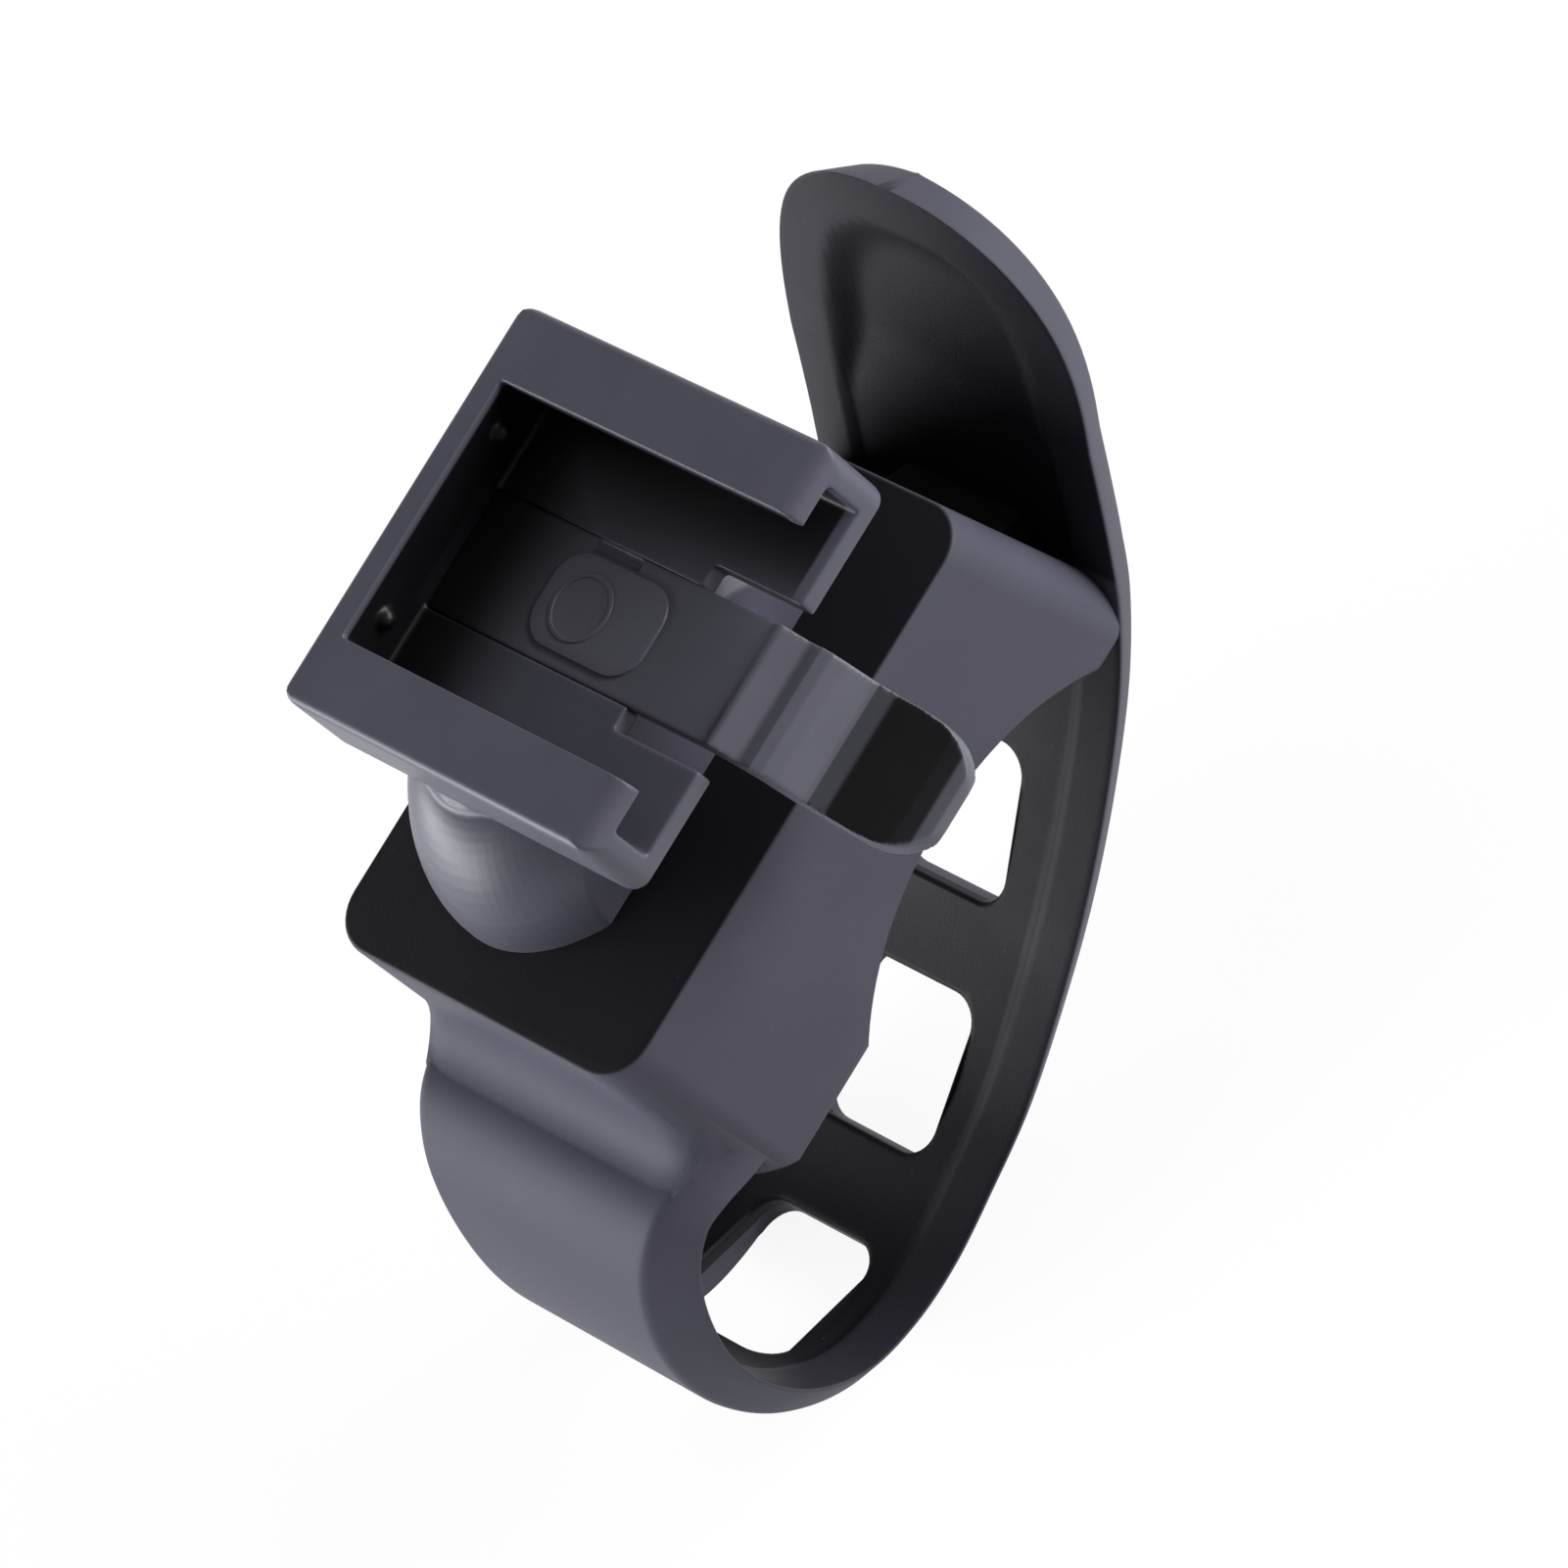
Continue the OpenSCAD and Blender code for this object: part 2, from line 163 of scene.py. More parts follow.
# The tongue at the slot's open end and past it, over and back under the thumb tab. Each point holds
# the distance along the bar from the open end and the height above the holder's floor.
THUMB_LINE = [
    (0.9, 0.0),
    (0.35, 0.35),
    (0.05, 0.35),
    (-0.5, -0.1),
    (-1.2, -0.65),
    (-1.6, -0.6),
    (-2.1, -0.55),
    (-2.7, -0.85),
    (-3.3, -1.5),
    (-4.2, -2.9),
    (-5.2, -3.7),
    (-8.2, -5.3),
    (-9.1, -5.85),
    (-9.65, -6.35),
    (-9.9, -6.8),
    (-9.6, -7.1),
    (-5.0, -5.2),
    (-3.0, -4.0),
    (-1.6, -2.4),
    (-0.2, -1.6),
]
THUMB_END = min(along for along, _ in THUMB_LINE)

# Where the shade painted on the thumb tab's face begins, from the slot's open end
THUMB_SHADE_START = -4.4

# The painted shade in the slot begins and is full at these distances from the closed wall. Its painted shade
# under the side lip begins at the first distance from its middle and is full at the second distance from its
# side.
SLOT_SHADE_END = (9, 2.5)
SLOT_SHADE_SIDE = (2, 3)


def length(name, value, description, low=0.0, high=100.0):
    """A size in metres that a user can change, from a value in millimetres."""
    return bpy.props.FloatProperty(
        name=name,
        description=description,
        default=value * MM,
        min=low * MM,
        max=high * MM,
        unit="LENGTH",
        precision=5,
    )


def colour(name, value, description):
    """A surface colour that a user can change."""
    return bpy.props.FloatVectorProperty(
        name=name, description=description, default=value, min=0, max=1, size=3, subtype="COLOR"
    )


class ClipSizes(bpy.types.PropertyGroup):
    """Sizes of the clip that the frame doesn't give."""

    saddle_rise: length("Saddle rise", 11.2, "Rubber between the bar and the saddle's top")
    saddle_w: length("Saddle width", 34, "Length of the saddle's top across the bar")
    seat_offset: length("Seat offset", 4, "From the seat's centre to the saddle's middle")
    jaw_depth: length("Jaw depth", 15.3, "Depth of the two jaws below the saddle's top")
    flank_lean: length("Flank lean", 2.35, "How far the hook side leans out at its foot")
    saddle_corner: length("Saddle corner", 2.7, "Radius of the saddle's upright corners")
    seat_chamfer: length("Seat chamfer", 0.7, "Chamfer round the seat's two ends")
    root_fillet: length("Root fillet", 3.6, "Radius of the valley above the strap's root")
    strap_t: length("Strap thickness", 2.4, "Thickness of the strap")
    loop_depth: length("Loop depth", 33, "Depth of the slack loop below the saddle's top")
    strap_border: length("Strap border", 3, "Border round the recess on the strap's inner face")
    strap_recess: length("Strap recess", 0.3, "Depth of that recess")
    strap_edge: length("Strap edge", 0.3, "Rounding of the strap's edges and windows")
    window_l: length("Window length", 9, "Length of each window along the strap")
    window_w: length("Window width", 8.8, "Width of each window across the strap")
    window_r: length("Window corner", 1.7, "Corner radius of each window")
    window_pitch: length("Window pitch", 14.2, "From one window's middle to the next")
    tab_l: length("Tab end", 12.5, "Length of the pull tab's rounded end")
    dish_depth: length("Dish depth", 0.9, "Depth of the thumb dish in the pull tab")
    holder_w: length("Holder width", 23.7, "Width of the holder across the bar")
    holder_l: length("Holder length", 23, "Length of the holder along the bar")
    holder_h: length("Holder height", 5.4, "Height of the holder")
    holder_corner: length("Holder corner", 1.1, "Radius of the holder's upright corners")
    floor_t: length("Floor thickness", 1.25, "Thickness of the holder's floor")
    slot_w: length("Slot width", 20.2, "Clear width of the light's slot")
    slot_h: length("Slot height", 2.95, "Clear height of the light's slot")
    mouth_w: length("Mouth width", 15.4, "Opening between the two lips")
    end_wall: length("End wall", 1.6, "Thickness of the closed end wall")
    lip_roll: length("Lip roll", 1.5, "Radius of the lips' rolled ends")
    tongue_gap: length("Tongue gap", 1.3, "Width of the slot on each side of the tongue")
    seam: length("Seam", 0.02, "Width of the seam on each side of the tongue's strip")
    thumb_r: length("Thumb corner", 2.9, "Radius of the thumb tab's end corners")
    pedestal_a: length("Pedestal length", 13.8, "Half length of the pedestal's foot")
    pedestal_b: length("Pedestal width", 9.4, "Half width of the pedestal's foot")
    catch_in: length("Catch inset", 2.1, "From each catch dome to the mouth's side and to the face")
    catch_r: length("Catch radius", 0.6, "Radius of each catch dome")
    pad_w: length("Pad width", 5.4, "Width of the low pad on the holder's floor")
    pad_l: length("Pad length", 8, "Length of that pad along the bar")
    pad_h: length("Pad height", 0.16, "Height of that pad")
    pad_r: length("Pad corner", 1.9, "Corner radius of that pad")
    ring_r: length("Ring radius", 1.95, "Outer radius of the ring on the pad")
    ring_w: length("Ring width", 0.25, "Width of that ring")
    ring_h: length("Ring height", 0.24, "Height of that ring above the holder's floor")
    notch_l: length("Notch length", 3.4, "Length of the notch in the tongue's side")
    notch_w: length("Notch width", 0.7, "Width of that notch")
    notch_h: length("Notch depth", 0.25, "Depth of that notch")
    hook_arm: length("Hook arm", 4.9, "Thickness of the hook's arm along the strap")
    hook_arm_l: length("Hook arm root", 3.6, "How far the hook's arm runs into the jaw")
    hook_play: length("Hook play", 0.2, "Room on each side of the arm in its window")
    hook_nose: length("Hook nose", 2, "Half length of the hook's nose along the strap")
    hook_nose_w: length("Hook nose width", 6, "Width of the hook's nose")
    hook_nose_t: length("Hook nose thickness", 1.3, "Thickness of the hook's nose")
    plastic_voxel: length("Plastic voxel", 0.12, "Mesh size of the moulded holder", 0.1, 2)
    tongue_voxel: length("Tongue voxel", 0.1, "Mesh size of the moulded tongue", 0.1, 2)
    hook_voxel: length("Hook voxel", 0.15, "Mesh size of the moulded hook", 0.1, 2)


class ClipColours(bpy.types.PropertyGroup):
    """Colours of the clip's materials."""

    rubber: colour("Rubber", (0.062, 0.061, 0.083), "Sides of the rubber")
    # Painted shade: a near-black colour painted on the saddle's top, the strap's inner face and the hook,
    # where they lie in shade
    painted_shade: colour("Rubber top", (0.009, 0.009, 0.012), "The saddle's top and the strap's inner face")
    plastic: colour("Plastic", (0.074, 0.073, 0.099), "Holder and pedestal")
    tongue: colour("Tongue", (0.092, 0.091, 0.118), "Release tongue")
    # Painted shade: a near-black colour painted on the thumb tab's face and inside the slot, towards its
    # closed end and under its lip
    thumb: colour("Thumb face", (0.003, 0.003, 0.004), "Polished face of the thumb tab")
    floor: colour("Floor", (0.6, 0.6, 0.6), "Floor under the clip")


def sizes():
    """The sizes in millimetres, by name."""
    group = bpy.context.scene.clip_sizes
    return {name: getattr(group, name) / MM for name in ClipSizes.__annotations__}


def link(obj):
    bpy.context.scene.collection.objects.link(obj)
    return obj


def mesh_object(name, points, faces=(), edges=(), numbers=None):
    """A mesh object from points in millimetres, each with its named numbers."""
    mesh = bpy.data.meshes.new(name)
    mesh.from_pydata([Vector(p) * MM for p in points], edges, faces)
    for key, values in (numbers or {}).items():
        mesh.attributes.new(key, "FLOAT", "POINT").data.foreach_set("value", values)
    mesh.update()
    return link(bpy.data.objects.new(name, mesh))


def wire(name, points, closed=True, numbers=None):
    """Points joined in a row or a ring."""
    pairs = [(i, i + 1) for i in range(len(points) - 1)]
    if closed:
        pairs.append((len(points) - 1, 0))
    return mesh_object(name, points, edges=pairs, numbers=numbers)


def point_right_way(obj):
    """Merges doubles and turns every face outwards."""
    shape = bmesh.new()
    shape.from_mesh(obj.data)
    bmesh.ops.remove_doubles(shape, verts=shape.verts, dist=0.001 * MM)
    bmesh.ops.recalc_face_normals(shape, faces=shape.faces)
    shape.to_mesh(obj.data)
    shape.free()
    return obj


def settle(obj):
    """Turns the object's modifiers into its plain mesh."""
    graph = bpy.context.evaluated_depsgraph_get()
    mesh = bpy.data.meshes.new_from_object(obj.evaluated_get(graph), depsgraph=graph)
    obj.modifiers.clear()
    old = obj.data
    obj.data = mesh
    if old.users == 0:
        bpy.data.meshes.remove(old)
    mesh.name = obj.name
    return obj


def discard(obj):
    mesh = obj.data
    bpy.data.objects.remove(obj)
    if mesh.users == 0:
        bpy.data.meshes.remove(mesh)


def combine(obj, tool, operation):
    """Cuts obj with tool, or keeps what the two share, and removes the tool."""
    step = obj.modifiers.new("combine", "BOOLEAN")
    step.operation = operation
    step.solver = "EXACT"
    step.object = tool
    settle(obj)
    discard(tool)
    return obj


def stack(name, rings):
    """A closed solid through rings of points, each past the one before."""
    count = len(rings[0])
    last = len(rings) - 1
    faces = [list(range(count))[::-1], [last * count + i for i in range(count)]]
    for k in range(last):
        low, high = k * count, (k + 1) * count
        for i in range(count):
            after = (i + 1) % count
            faces.append([low + i, low + after, high + after, high + i])
    points = [point for ring in rings for point in ring]
    return point_right_way(mesh_object(name, points, faces))


def prism(name, outline, axis, low, high):
    """A closed solid of that outline, drawn across the axis and drawn out along it from low to high."""
    order = {"x": (2, 0, 1), "y": (0, 2, 1), "z": (0, 1, 2)}[axis]
    rings = []
    for level in (low, high):
        rings.append([tuple((u, v, level)[i] for i in order) for u, v in outline])
    return stack(name, rings)


def box(name, low, high):
    """A closed box between two corners in millimetres."""
    outline = [(low[0], low[1]), (high[0], low[1]), (high[0], high[1]), (low[0], high[1])]
    return prism(name, outline, "z", low[2], high[2])


def arc(centre, radius, start, end, count):
    """Points along an arc, angles in degrees."""
    turns = [math.radians(start + (end - start) * i / count) for i in range(count + 1)]
    return [(centre[0] + radius * math.cos(a), centre[1] + radius * math.sin(a)) for a in turns]


def circle(centre, radius, count):
    """Points round a circle."""
    return arc(centre, radius, 0, 360 - 360 / count, count - 1)


def rounded(low, high, radii, count=8):
    """A rectangle with a radius for each corner, from the lower left one and against the clock."""
    corners = [(low[0], low[1]), (high[0], low[1]), (high[0], high[1]), (low[0], high[1])]
    inward = [(1, 1), (-1, 1), (-1, -1), (1, -1)]
    outline = []
    for corner, way, radius, start in zip(corners, inward, radii, (180, 270, 0, 90)):
        centre = (corner[0] + way[0] * radius, corner[1] + way[1] * radius)
        outline += arc(centre, radius, start, start + 90, count)
    return outline


def soften(obj, radius):
    """Rounds the sharp edges of a clean solid."""
    step = obj.modifiers.new("soft edges", "BEVEL")
    step.width = radius * MM
    step.segments = 3
    step.limit_method = "ANGLE"
    step.angle_limit = math.radians(38)
    step.use_clamp_overlap = False
    settle(obj)
    return obj


def fused(name, parts):
    """Joins solids that overlap into one closed skin."""
    body = parts[0]
    for part in parts[1:]:
        combine(body, part, "UNION")
    body.name = name
    body.data.name = name
    body.data.shade_smooth()
    body.data.set_sharp_from_angle(angle=math.radians(36))
    return body


def moulded(name, parts, voxel, smoothing, budget):
    """Fuses the parts into one closed skin with the small round edges of a moulded piece."""
    shape = bmesh.new()
    for part in parts:
        shape.from_mesh(part.data)
    mesh = bpy.data.meshes.new(name)
    shape.to_mesh(mesh)
    shape.free()
    for part in parts:
        discard(part)
    body = link(bpy.data.objects.new(name, mesh))
    remesh = body.modifiers.new("skin", "REMESH")
    remesh.mode = "VOXEL"
    remesh.voxel_size = voxel * MM
    smooth = body.modifiers.new("soft edges", "SMOOTH")
    smooth.factor = 0.5
    smooth.iterations = smoothing
    settle(body)
    triangles = sum(len(face.vertices) - 2 for face in body.data.polygons)
    if triangles > budget:
        thin = body.modifiers.new("thin", "DECIMATE")
        thin.ratio = budget / triangles
        settle(body)
    body.data.shade_smooth()
    return body


# Node trees


def pick(sockets, key):
    """A node's socket by its number, or the one in use by its name."""
    if isinstance(key, int):
        return sockets[key]
    return next(socket for socket in sockets if socket.name == key and socket.enabled)


def add_node(tree, kind, sockets=None, **settings):
    """A node with its settings, and its inputs linked or set, by name or number."""
    made = tree.nodes.new(kind)
    for key, value in settings.items():
        setattr(made, key, value)
    for key, value in (sockets or {}).items():
        socket = pick(made.inputs, key)
        if isinstance(value, bpy.types.NodeSocket):
            tree.links.new(value, socket)
        else:
            socket.default_value = value
    return made


def maths(tree, operation, *values):
    """The result of a maths node."""
    return add_node(tree, "ShaderNodeMath", dict(enumerate(values)), operation=operation).outputs[0]


def mapped(tree, value, source, target=(0.0, 1.0), steps="LINEAR"):
    """A value taken from one range to another and held at its ends."""
    sockets = {"Value": value}
    for label, ends in (("From", source), ("To", target)):
        sockets[label + " Min"], sockets[label + " Max"] = ends
    return add_node(tree, "ShaderNodeMapRange", sockets, interpolation_type=steps).outputs[0]


def between(tree, value, low, high, soft):
    """A mask that is 1 where value lies from low to high, with soft ends."""
    rise = mapped(tree, value, (low - soft, low + soft))
    fall = mapped(tree, value, (high - soft, high + soft), (1.0, 0.0))
    return maths(tree, "MULTIPLY", rise, fall)


def apart(tree, vector):
    """A vector's X, Y and Z."""
    return add_node(tree, "ShaderNodeSeparateXYZ", {0: vector}).outputs


def together(tree, **sockets):
    """A vector from its X, Y and Z."""
    return add_node(tree, "ShaderNodeCombineXYZ", sockets).outputs[0]


def mixed(tree, share, first, second, **settings):
    """The mix of two colours."""
    sockets = {"Factor": share, "A": first, "B": second}
    made = add_node(tree, "ShaderNodeMix", sockets, data_type="RGBA", **settings)
    return pick(made.outputs, "Result")


def geometry_tree(name, objects=(), numbers=()):
    """A geometry node tree with one geometry in and out, and named inputs."""
    tree = bpy.data.node_groups.new(name, "GeometryNodeTree")
    tree.interface.new_socket("Geometry", in_out="OUTPUT", socket_type="NodeSocketGeometry")
    for labels, kind in ((["Geometry"], "Geometry"), (objects, "Object"), (numbers, "Float")):
        for label in labels:
            tree.interface.new_socket(label, in_out="INPUT", socket_type="NodeSocket" + kind)
    return tree, tree.nodes.new("NodeGroupInput"), tree.nodes.new("NodeGroupOutput")


def finish_tree(tree, geometry, end):
    """Realizes the instances, sets the material and ends the tree."""
    real = add_node(tree, "GeometryNodeRealizeInstances", {"Geometry": geometry})
    painted = add_node(tree, "GeometryNodeSetMaterial", {"Geometry": real.outputs[0]})
    tree.links.new(painted.outputs[0], end.inputs[0])


def run_tree(obj, tree, values):
    """Runs the tree on the object and keeps what it makes as the object's plain mesh.

    Each value is another object or a length in millimetres, set by its socket's identifier.
    """
    step = obj.modifiers.new(tree.name, "NODES")
    step.node_group = tree
    sockets = {item.name: item.identifier for item in tree.interface.items_tree if item.in_out == "INPUT"}
    for key, value in values.items():
        step[sockets[key]] = value if isinstance(value, bpy.types.Object) else value * MM
    return settle(obj)


def named(tree, name):
    """A named attribute's number."""
    return add_node(tree, "GeometryNodeInputNamedAttribute", {"Name": name}, data_type="FLOAT").outputs[0]


def strap_sweep_tree():
    """Sweeps the strap's section along a straight line, with slanted edges and a recess on the inner face."""
    tree, start, end = geometry_tree("strap sweep", ["Section", "Outline"], ["Thickness", "Border"])
    line = add_node(tree, "GeometryNodeMeshToCurve", {"Mesh": start.outputs["Geometry"]})
    section = add_node(tree, "GeometryNodeObjectInfo", {"Object": start.outputs["Section"]})
    ring = add_node(tree, "GeometryNodeMeshToCurve", {"Mesh": section.outputs["Geometry"]})
    swept = add_node(
        tree,
        "GeometryNodeCurveToMesh",
        {"Curve": line.outputs[0], "Profile Curve": ring.outputs[0], "Fill Caps": True},
    )
    level = named(tree, "level")
    span = named(tree, "span")
    half = named(tree, "half")
    pinch = maths(tree, "MULTIPLY", named(tree, "pinch"), level)
    width = maths(tree, "SUBTRACT", half, pinch)
    width = maths(tree, "SUBTRACT", width, named(tree, "inset"))
    across = maths(tree, "MULTIPLY", span, width)
    run = named(tree, "run")
    outline = add_node(tree, "GeometryNodeObjectInfo", {"Object": start.outputs["Outline"]})
    edge = add_node(
        tree,
        "GeometryNodeProximity",
        {"Geometry": outline.outputs["Geometry"], "Sample Position": together(tree, X=run, Y=across)},
        target_element="EDGES",
    ).outputs["Distance"]
    border = start.outputs["Border"]
    flat = maths(tree, "ADD", border, named(tree, "ramp"))
    recess = mapped(tree, edge, (border, flat), (0.0, named(tree, "dip")), "SMOOTHSTEP")
    on_face = maths(tree, "LESS_THAN", level, 0.01)
    depth = maths(tree, "MULTIPLY", recess, on_face)
    depth = maths(tree, "MULTIPLY_ADD", level, start.outputs["Thickness"], depth)
    pulled = maths(tree, "MULTIPLY", named(tree, "pull"), level)
    along = maths(tree, "SUBTRACT", run, pulled)
    place = together(tree, X=along, Y=across, Z=depth)
    moved = add_node(tree, "GeometryNodeSetPosition", {"Geometry": swept.outputs[0], "Position": place})
    finish_tree(tree, moved.outputs[0], end)
    return tree


def strap_windows_tree():
    """Cuts a row of rounded windows through the flat strap, with a small round edge on both faces."""
    numbers = ["Length", "Width", "Corner", "Inner Face", "Outer Face", "Edge Round"]
    tree, start, end = geometry_tree("strap windows", ["Places"], numbers)
    places = add_node(tree, "GeometryNodeObjectInfo", {"Object": start.outputs["Places"]})
    rectangle = add_node(
        tree,
        "GeometryNodeCurvePrimitiveQuadrilateral",
        {"Width": start.outputs["Length"], "Height": start.outputs["Width"]},
    )
    outline = add_node(
        tree,
        "GeometryNodeFilletCurve",
        {"Curve": rectangle.outputs[0], "Radius": start.outputs["Corner"], "Count": 8},
        mode="POLY",
    )
    inner, outer = start.outputs["Inner Face"], start.outputs["Outer Face"]
    soft = start.outputs["Edge Round"]
    low = together(tree, Z=maths(tree, "SUBTRACT", inner, PAST * MM))
    high = together(tree, Z=maths(tree, "ADD", outer, PAST * MM))
    run = add_node(tree, "GeometryNodeCurvePrimitiveLine", {"Start": low, "End": high})
    fine = add_node(tree, "GeometryNodeResampleCurve", {"Curve": run.outputs[0], "Count": 56})
    height = apart(tree, add_node(tree, "GeometryNodeInputPosition").outputs[0])["Z"]
    flare = None
    for gap in (maths(tree, "SUBTRACT", height, inner), maths(tree, "SUBTRACT", outer, height)):
        near = maths(tree, "SUBTRACT", 1.0, maths(tree, "DIVIDE", gap, soft))
        near = maths(tree, "MINIMUM", maths(tree, "MAXIMUM", near, 0.0), 1.0)
        drop = maths(tree, "SUBTRACT", 1.0, maths(tree, "MULTIPLY", near, near))
        open_by = maths(tree, "SUBTRACT", 1.0, maths(tree, "SQRT", drop))
        flare = open_by if flare is None else maths(tree, "ADD", flare, open_by)
    share = maths(tree, "DIVIDE", soft, maths(tree, "MULTIPLY", start.outputs["Length"], 0.5))
    scale = maths(tree, "MULTIPLY_ADD", flare, share, 1.0)
    cutter = add_node(
        tree,
        "GeometryNodeCurveToMesh",
        {"Curve": fine.outputs[0], "Profile Curve": outline.outputs[0], "Scale": scale, "Fill Caps": True},
    )
    cutters = add_node(
        tree,
        "GeometryNodeInstanceOnPoints",
        {"Points": places.outputs["Geometry"], "Instance": cutter.outputs[0]},
    )
    real = add_node(tree, "GeometryNodeRealizeInstances", {"Geometry": cutters.outputs[0]})
    cut = add_node(
        tree,
        "GeometryNodeMeshBoolean",
        {"Mesh 1": start.outputs["Geometry"]},
        operation="DIFFERENCE",
        solver="EXACT",
    )
    tree.links.new(real.outputs[0], cut.inputs["Mesh 2"])
    finish_tree(tree, cut.outputs[0], end)
    return tree


def dome_tree():
    """Puts a small dome at each point."""
    tree, start, end = geometry_tree("catch domes", numbers=["Radius"])
    ball = add_node(
        tree, "GeometryNodeMeshIcoSphere", {"Radius": start.outputs["Radius"], "Subdivisions": 4}
    )
    domes = add_node(
        tree,
        "GeometryNodeInstanceOnPoints",
        {"Points": start.outputs["Geometry"], "Instance": ball.outputs[0]},
    )
    finish_tree(tree, domes.outputs[0], end)
    return tree


# Finishes


def shader_group(name, inputs, outputs):
    """A shader node group with named inputs and outputs."""
    tree = bpy.data.node_groups.new(name, "ShaderNodeTree")
    for label, kind, value in inputs:
        socket = tree.interface.new_socket(label, in_out="INPUT", socket_type=kind)
        if value is not None:
            socket.default_value = value
    for label, kind in outputs:
        tree.interface.new_socket(label, in_out="OUTPUT", socket_type=kind)
    return tree, tree.nodes.new("NodeGroupInput"), tree.nodes.new("NodeGroupOutput")


def mould_grain_group():
    """Fine grain of a moulded surface, and slow patches in its gloss."""
    tree, start, end = shader_group(
        "mould grain",
        [("Vector", "NodeSocketVector", None), ("Scale", "NodeSocketFloat", 9000.0)],
        [("Height", "NodeSocketFloat"), ("Patches", "NodeSocketFloat")],
    )
    grain = add_node(
        tree,
        "ShaderNodeTexNoise",
        {"Vector": start.outputs["Vector"], "Scale": start.outputs["Scale"], "Detail": 3.0},
    )
    patches = add_node(
        tree, "ShaderNodeTexNoise", {"Vector": start.outputs["Vector"], "Scale": 160.0, "Detail": 3.0}
    )
    tree.links.new(grain.outputs[0], end.inputs["Height"])
    tree.links.new(patches.outputs[0], end.inputs["Patches"])
    return tree


def dust_group():
    """A sparse scatter of pale specks."""
    tree, start, end = shader_group(
        "dust",
        [
            ("Vector", "NodeSocketVector", None),
            ("Colour", "NodeSocketColor", None),
            ("Amount", "NodeSocketFloat", 0.1),
        ],
        [("Colour", "NodeSocketColor")],
    )
    specks = add_node(tree, "ShaderNodeTexVoronoi", {"Vector": start.outputs["Vector"], "Scale": 900.0})
    small = mapped(tree, specks.outputs["Distance"], (0.02, 0.07), (1.0, 0.0))
    chance = add_node(tree, "ShaderNodeSeparateColor", {0: specks.outputs["Color"]}).outputs[0]
    some = maths(tree, "GREATER_THAN", chance, 0.93)
    share = maths(tree, "MULTIPLY", small, some)
    share = maths(tree, "MULTIPLY", share, start.outputs["Amount"])
    speckled = mixed(tree, share, start.outputs["Colour"], (0.35, 0.35, 0.36, 1.0))
    tree.links.new(speckled, end.inputs["Colour"])
    return tree


def facing_up(tree, low, high):
    """A mask of what faces up, from the upward part of its normal."""
    normal = add_node(tree, "ShaderNodeNewGeometry").outputs["Normal"]
    return mapped(tree, apart(tree, normal)["Z"], (low, high))


def material(
    name, base, roughness, grain_scale=9000.0, grain_depth=0.008, specular=0.5, mask=None, second=None
):
    """A moulded finish. mask(tree, coordinates) says where the second colour lies, which paints shade."""
    made = bpy.data.materials.new(name)
    made.use_nodes = True
    tree = made.node_tree
    shader = tree.nodes["Principled BSDF"]
    coordinates = add_node(tree, "ShaderNodeTexCoord").outputs["Object"]
    grain = add_node(
        tree,
        "ShaderNodeGroup",
        {"Vector": coordinates, "Scale": grain_scale},
        node_tree=bpy.data.node_groups["mould grain"],
    )
    patches = grain.outputs["Patches"]
    tint = (*base, 1.0)
    if mask:
        tint = mixed(tree, mask(tree, coordinates), tint, (*second, 1.0))
    shade = mapped(tree, patches, (0.3, 0.7), (0.8, 1.15))
    dust = add_node(
        tree,
        "ShaderNodeGroup",
        {"Vector": coordinates, "Colour": mixed(tree, 0.35, tint, shade, blend_type="MULTIPLY")},
        node_tree=bpy.data.node_groups["dust"],
    )
    tree.links.new(dust.outputs["Colour"], shader.inputs["Base Color"])
    rough = mapped(tree, patches, (0.25, 0.75), (roughness - 0.04, roughness + 0.04))
    tree.links.new(rough, shader.inputs["Roughness"])
    bump = add_node(
        tree,
        "ShaderNodeBump",
        {"Height": grain.outputs["Height"], "Distance": grain_depth * MM, "Strength": 0.6},
    )
    tree.links.new(bump.outputs[0], shader.inputs["Normal"])
    shader.inputs["Specular IOR Level"].default_value = specular
    return made


def finish_piece(obj, finish, body="clip", nodes=()):
    """Gives a piece its material and body, and hides the nodes it stands for."""
    obj.data.materials.clear()
    obj.data.materials.append(finish)
    if nodes:
        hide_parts(*nodes)
    if body:
        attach(obj, body)
    return obj


# Rubber saddle and strap


def spline(a, b, c, d, t):
    """A point between b and c on a smooth curve through all four."""
    return tuple(
        0.5
        * (2 * q + (r - p) * t + (2 * p - 5 * q + 4 * r - s) * t * t + (3 * q - p - 3 * r + s) * t**3)
        for p, q, r, s in zip(a, b, c, d)
    )


def knot_place(size, knot):
    """Where a row of the strap's line lies, across the bar and in height."""
    x = knot[0] * size["saddle_w"] / 2 - size["seat_offset"]
    return x, saddle_top(size) + knot[1] * size["loop_depth"]


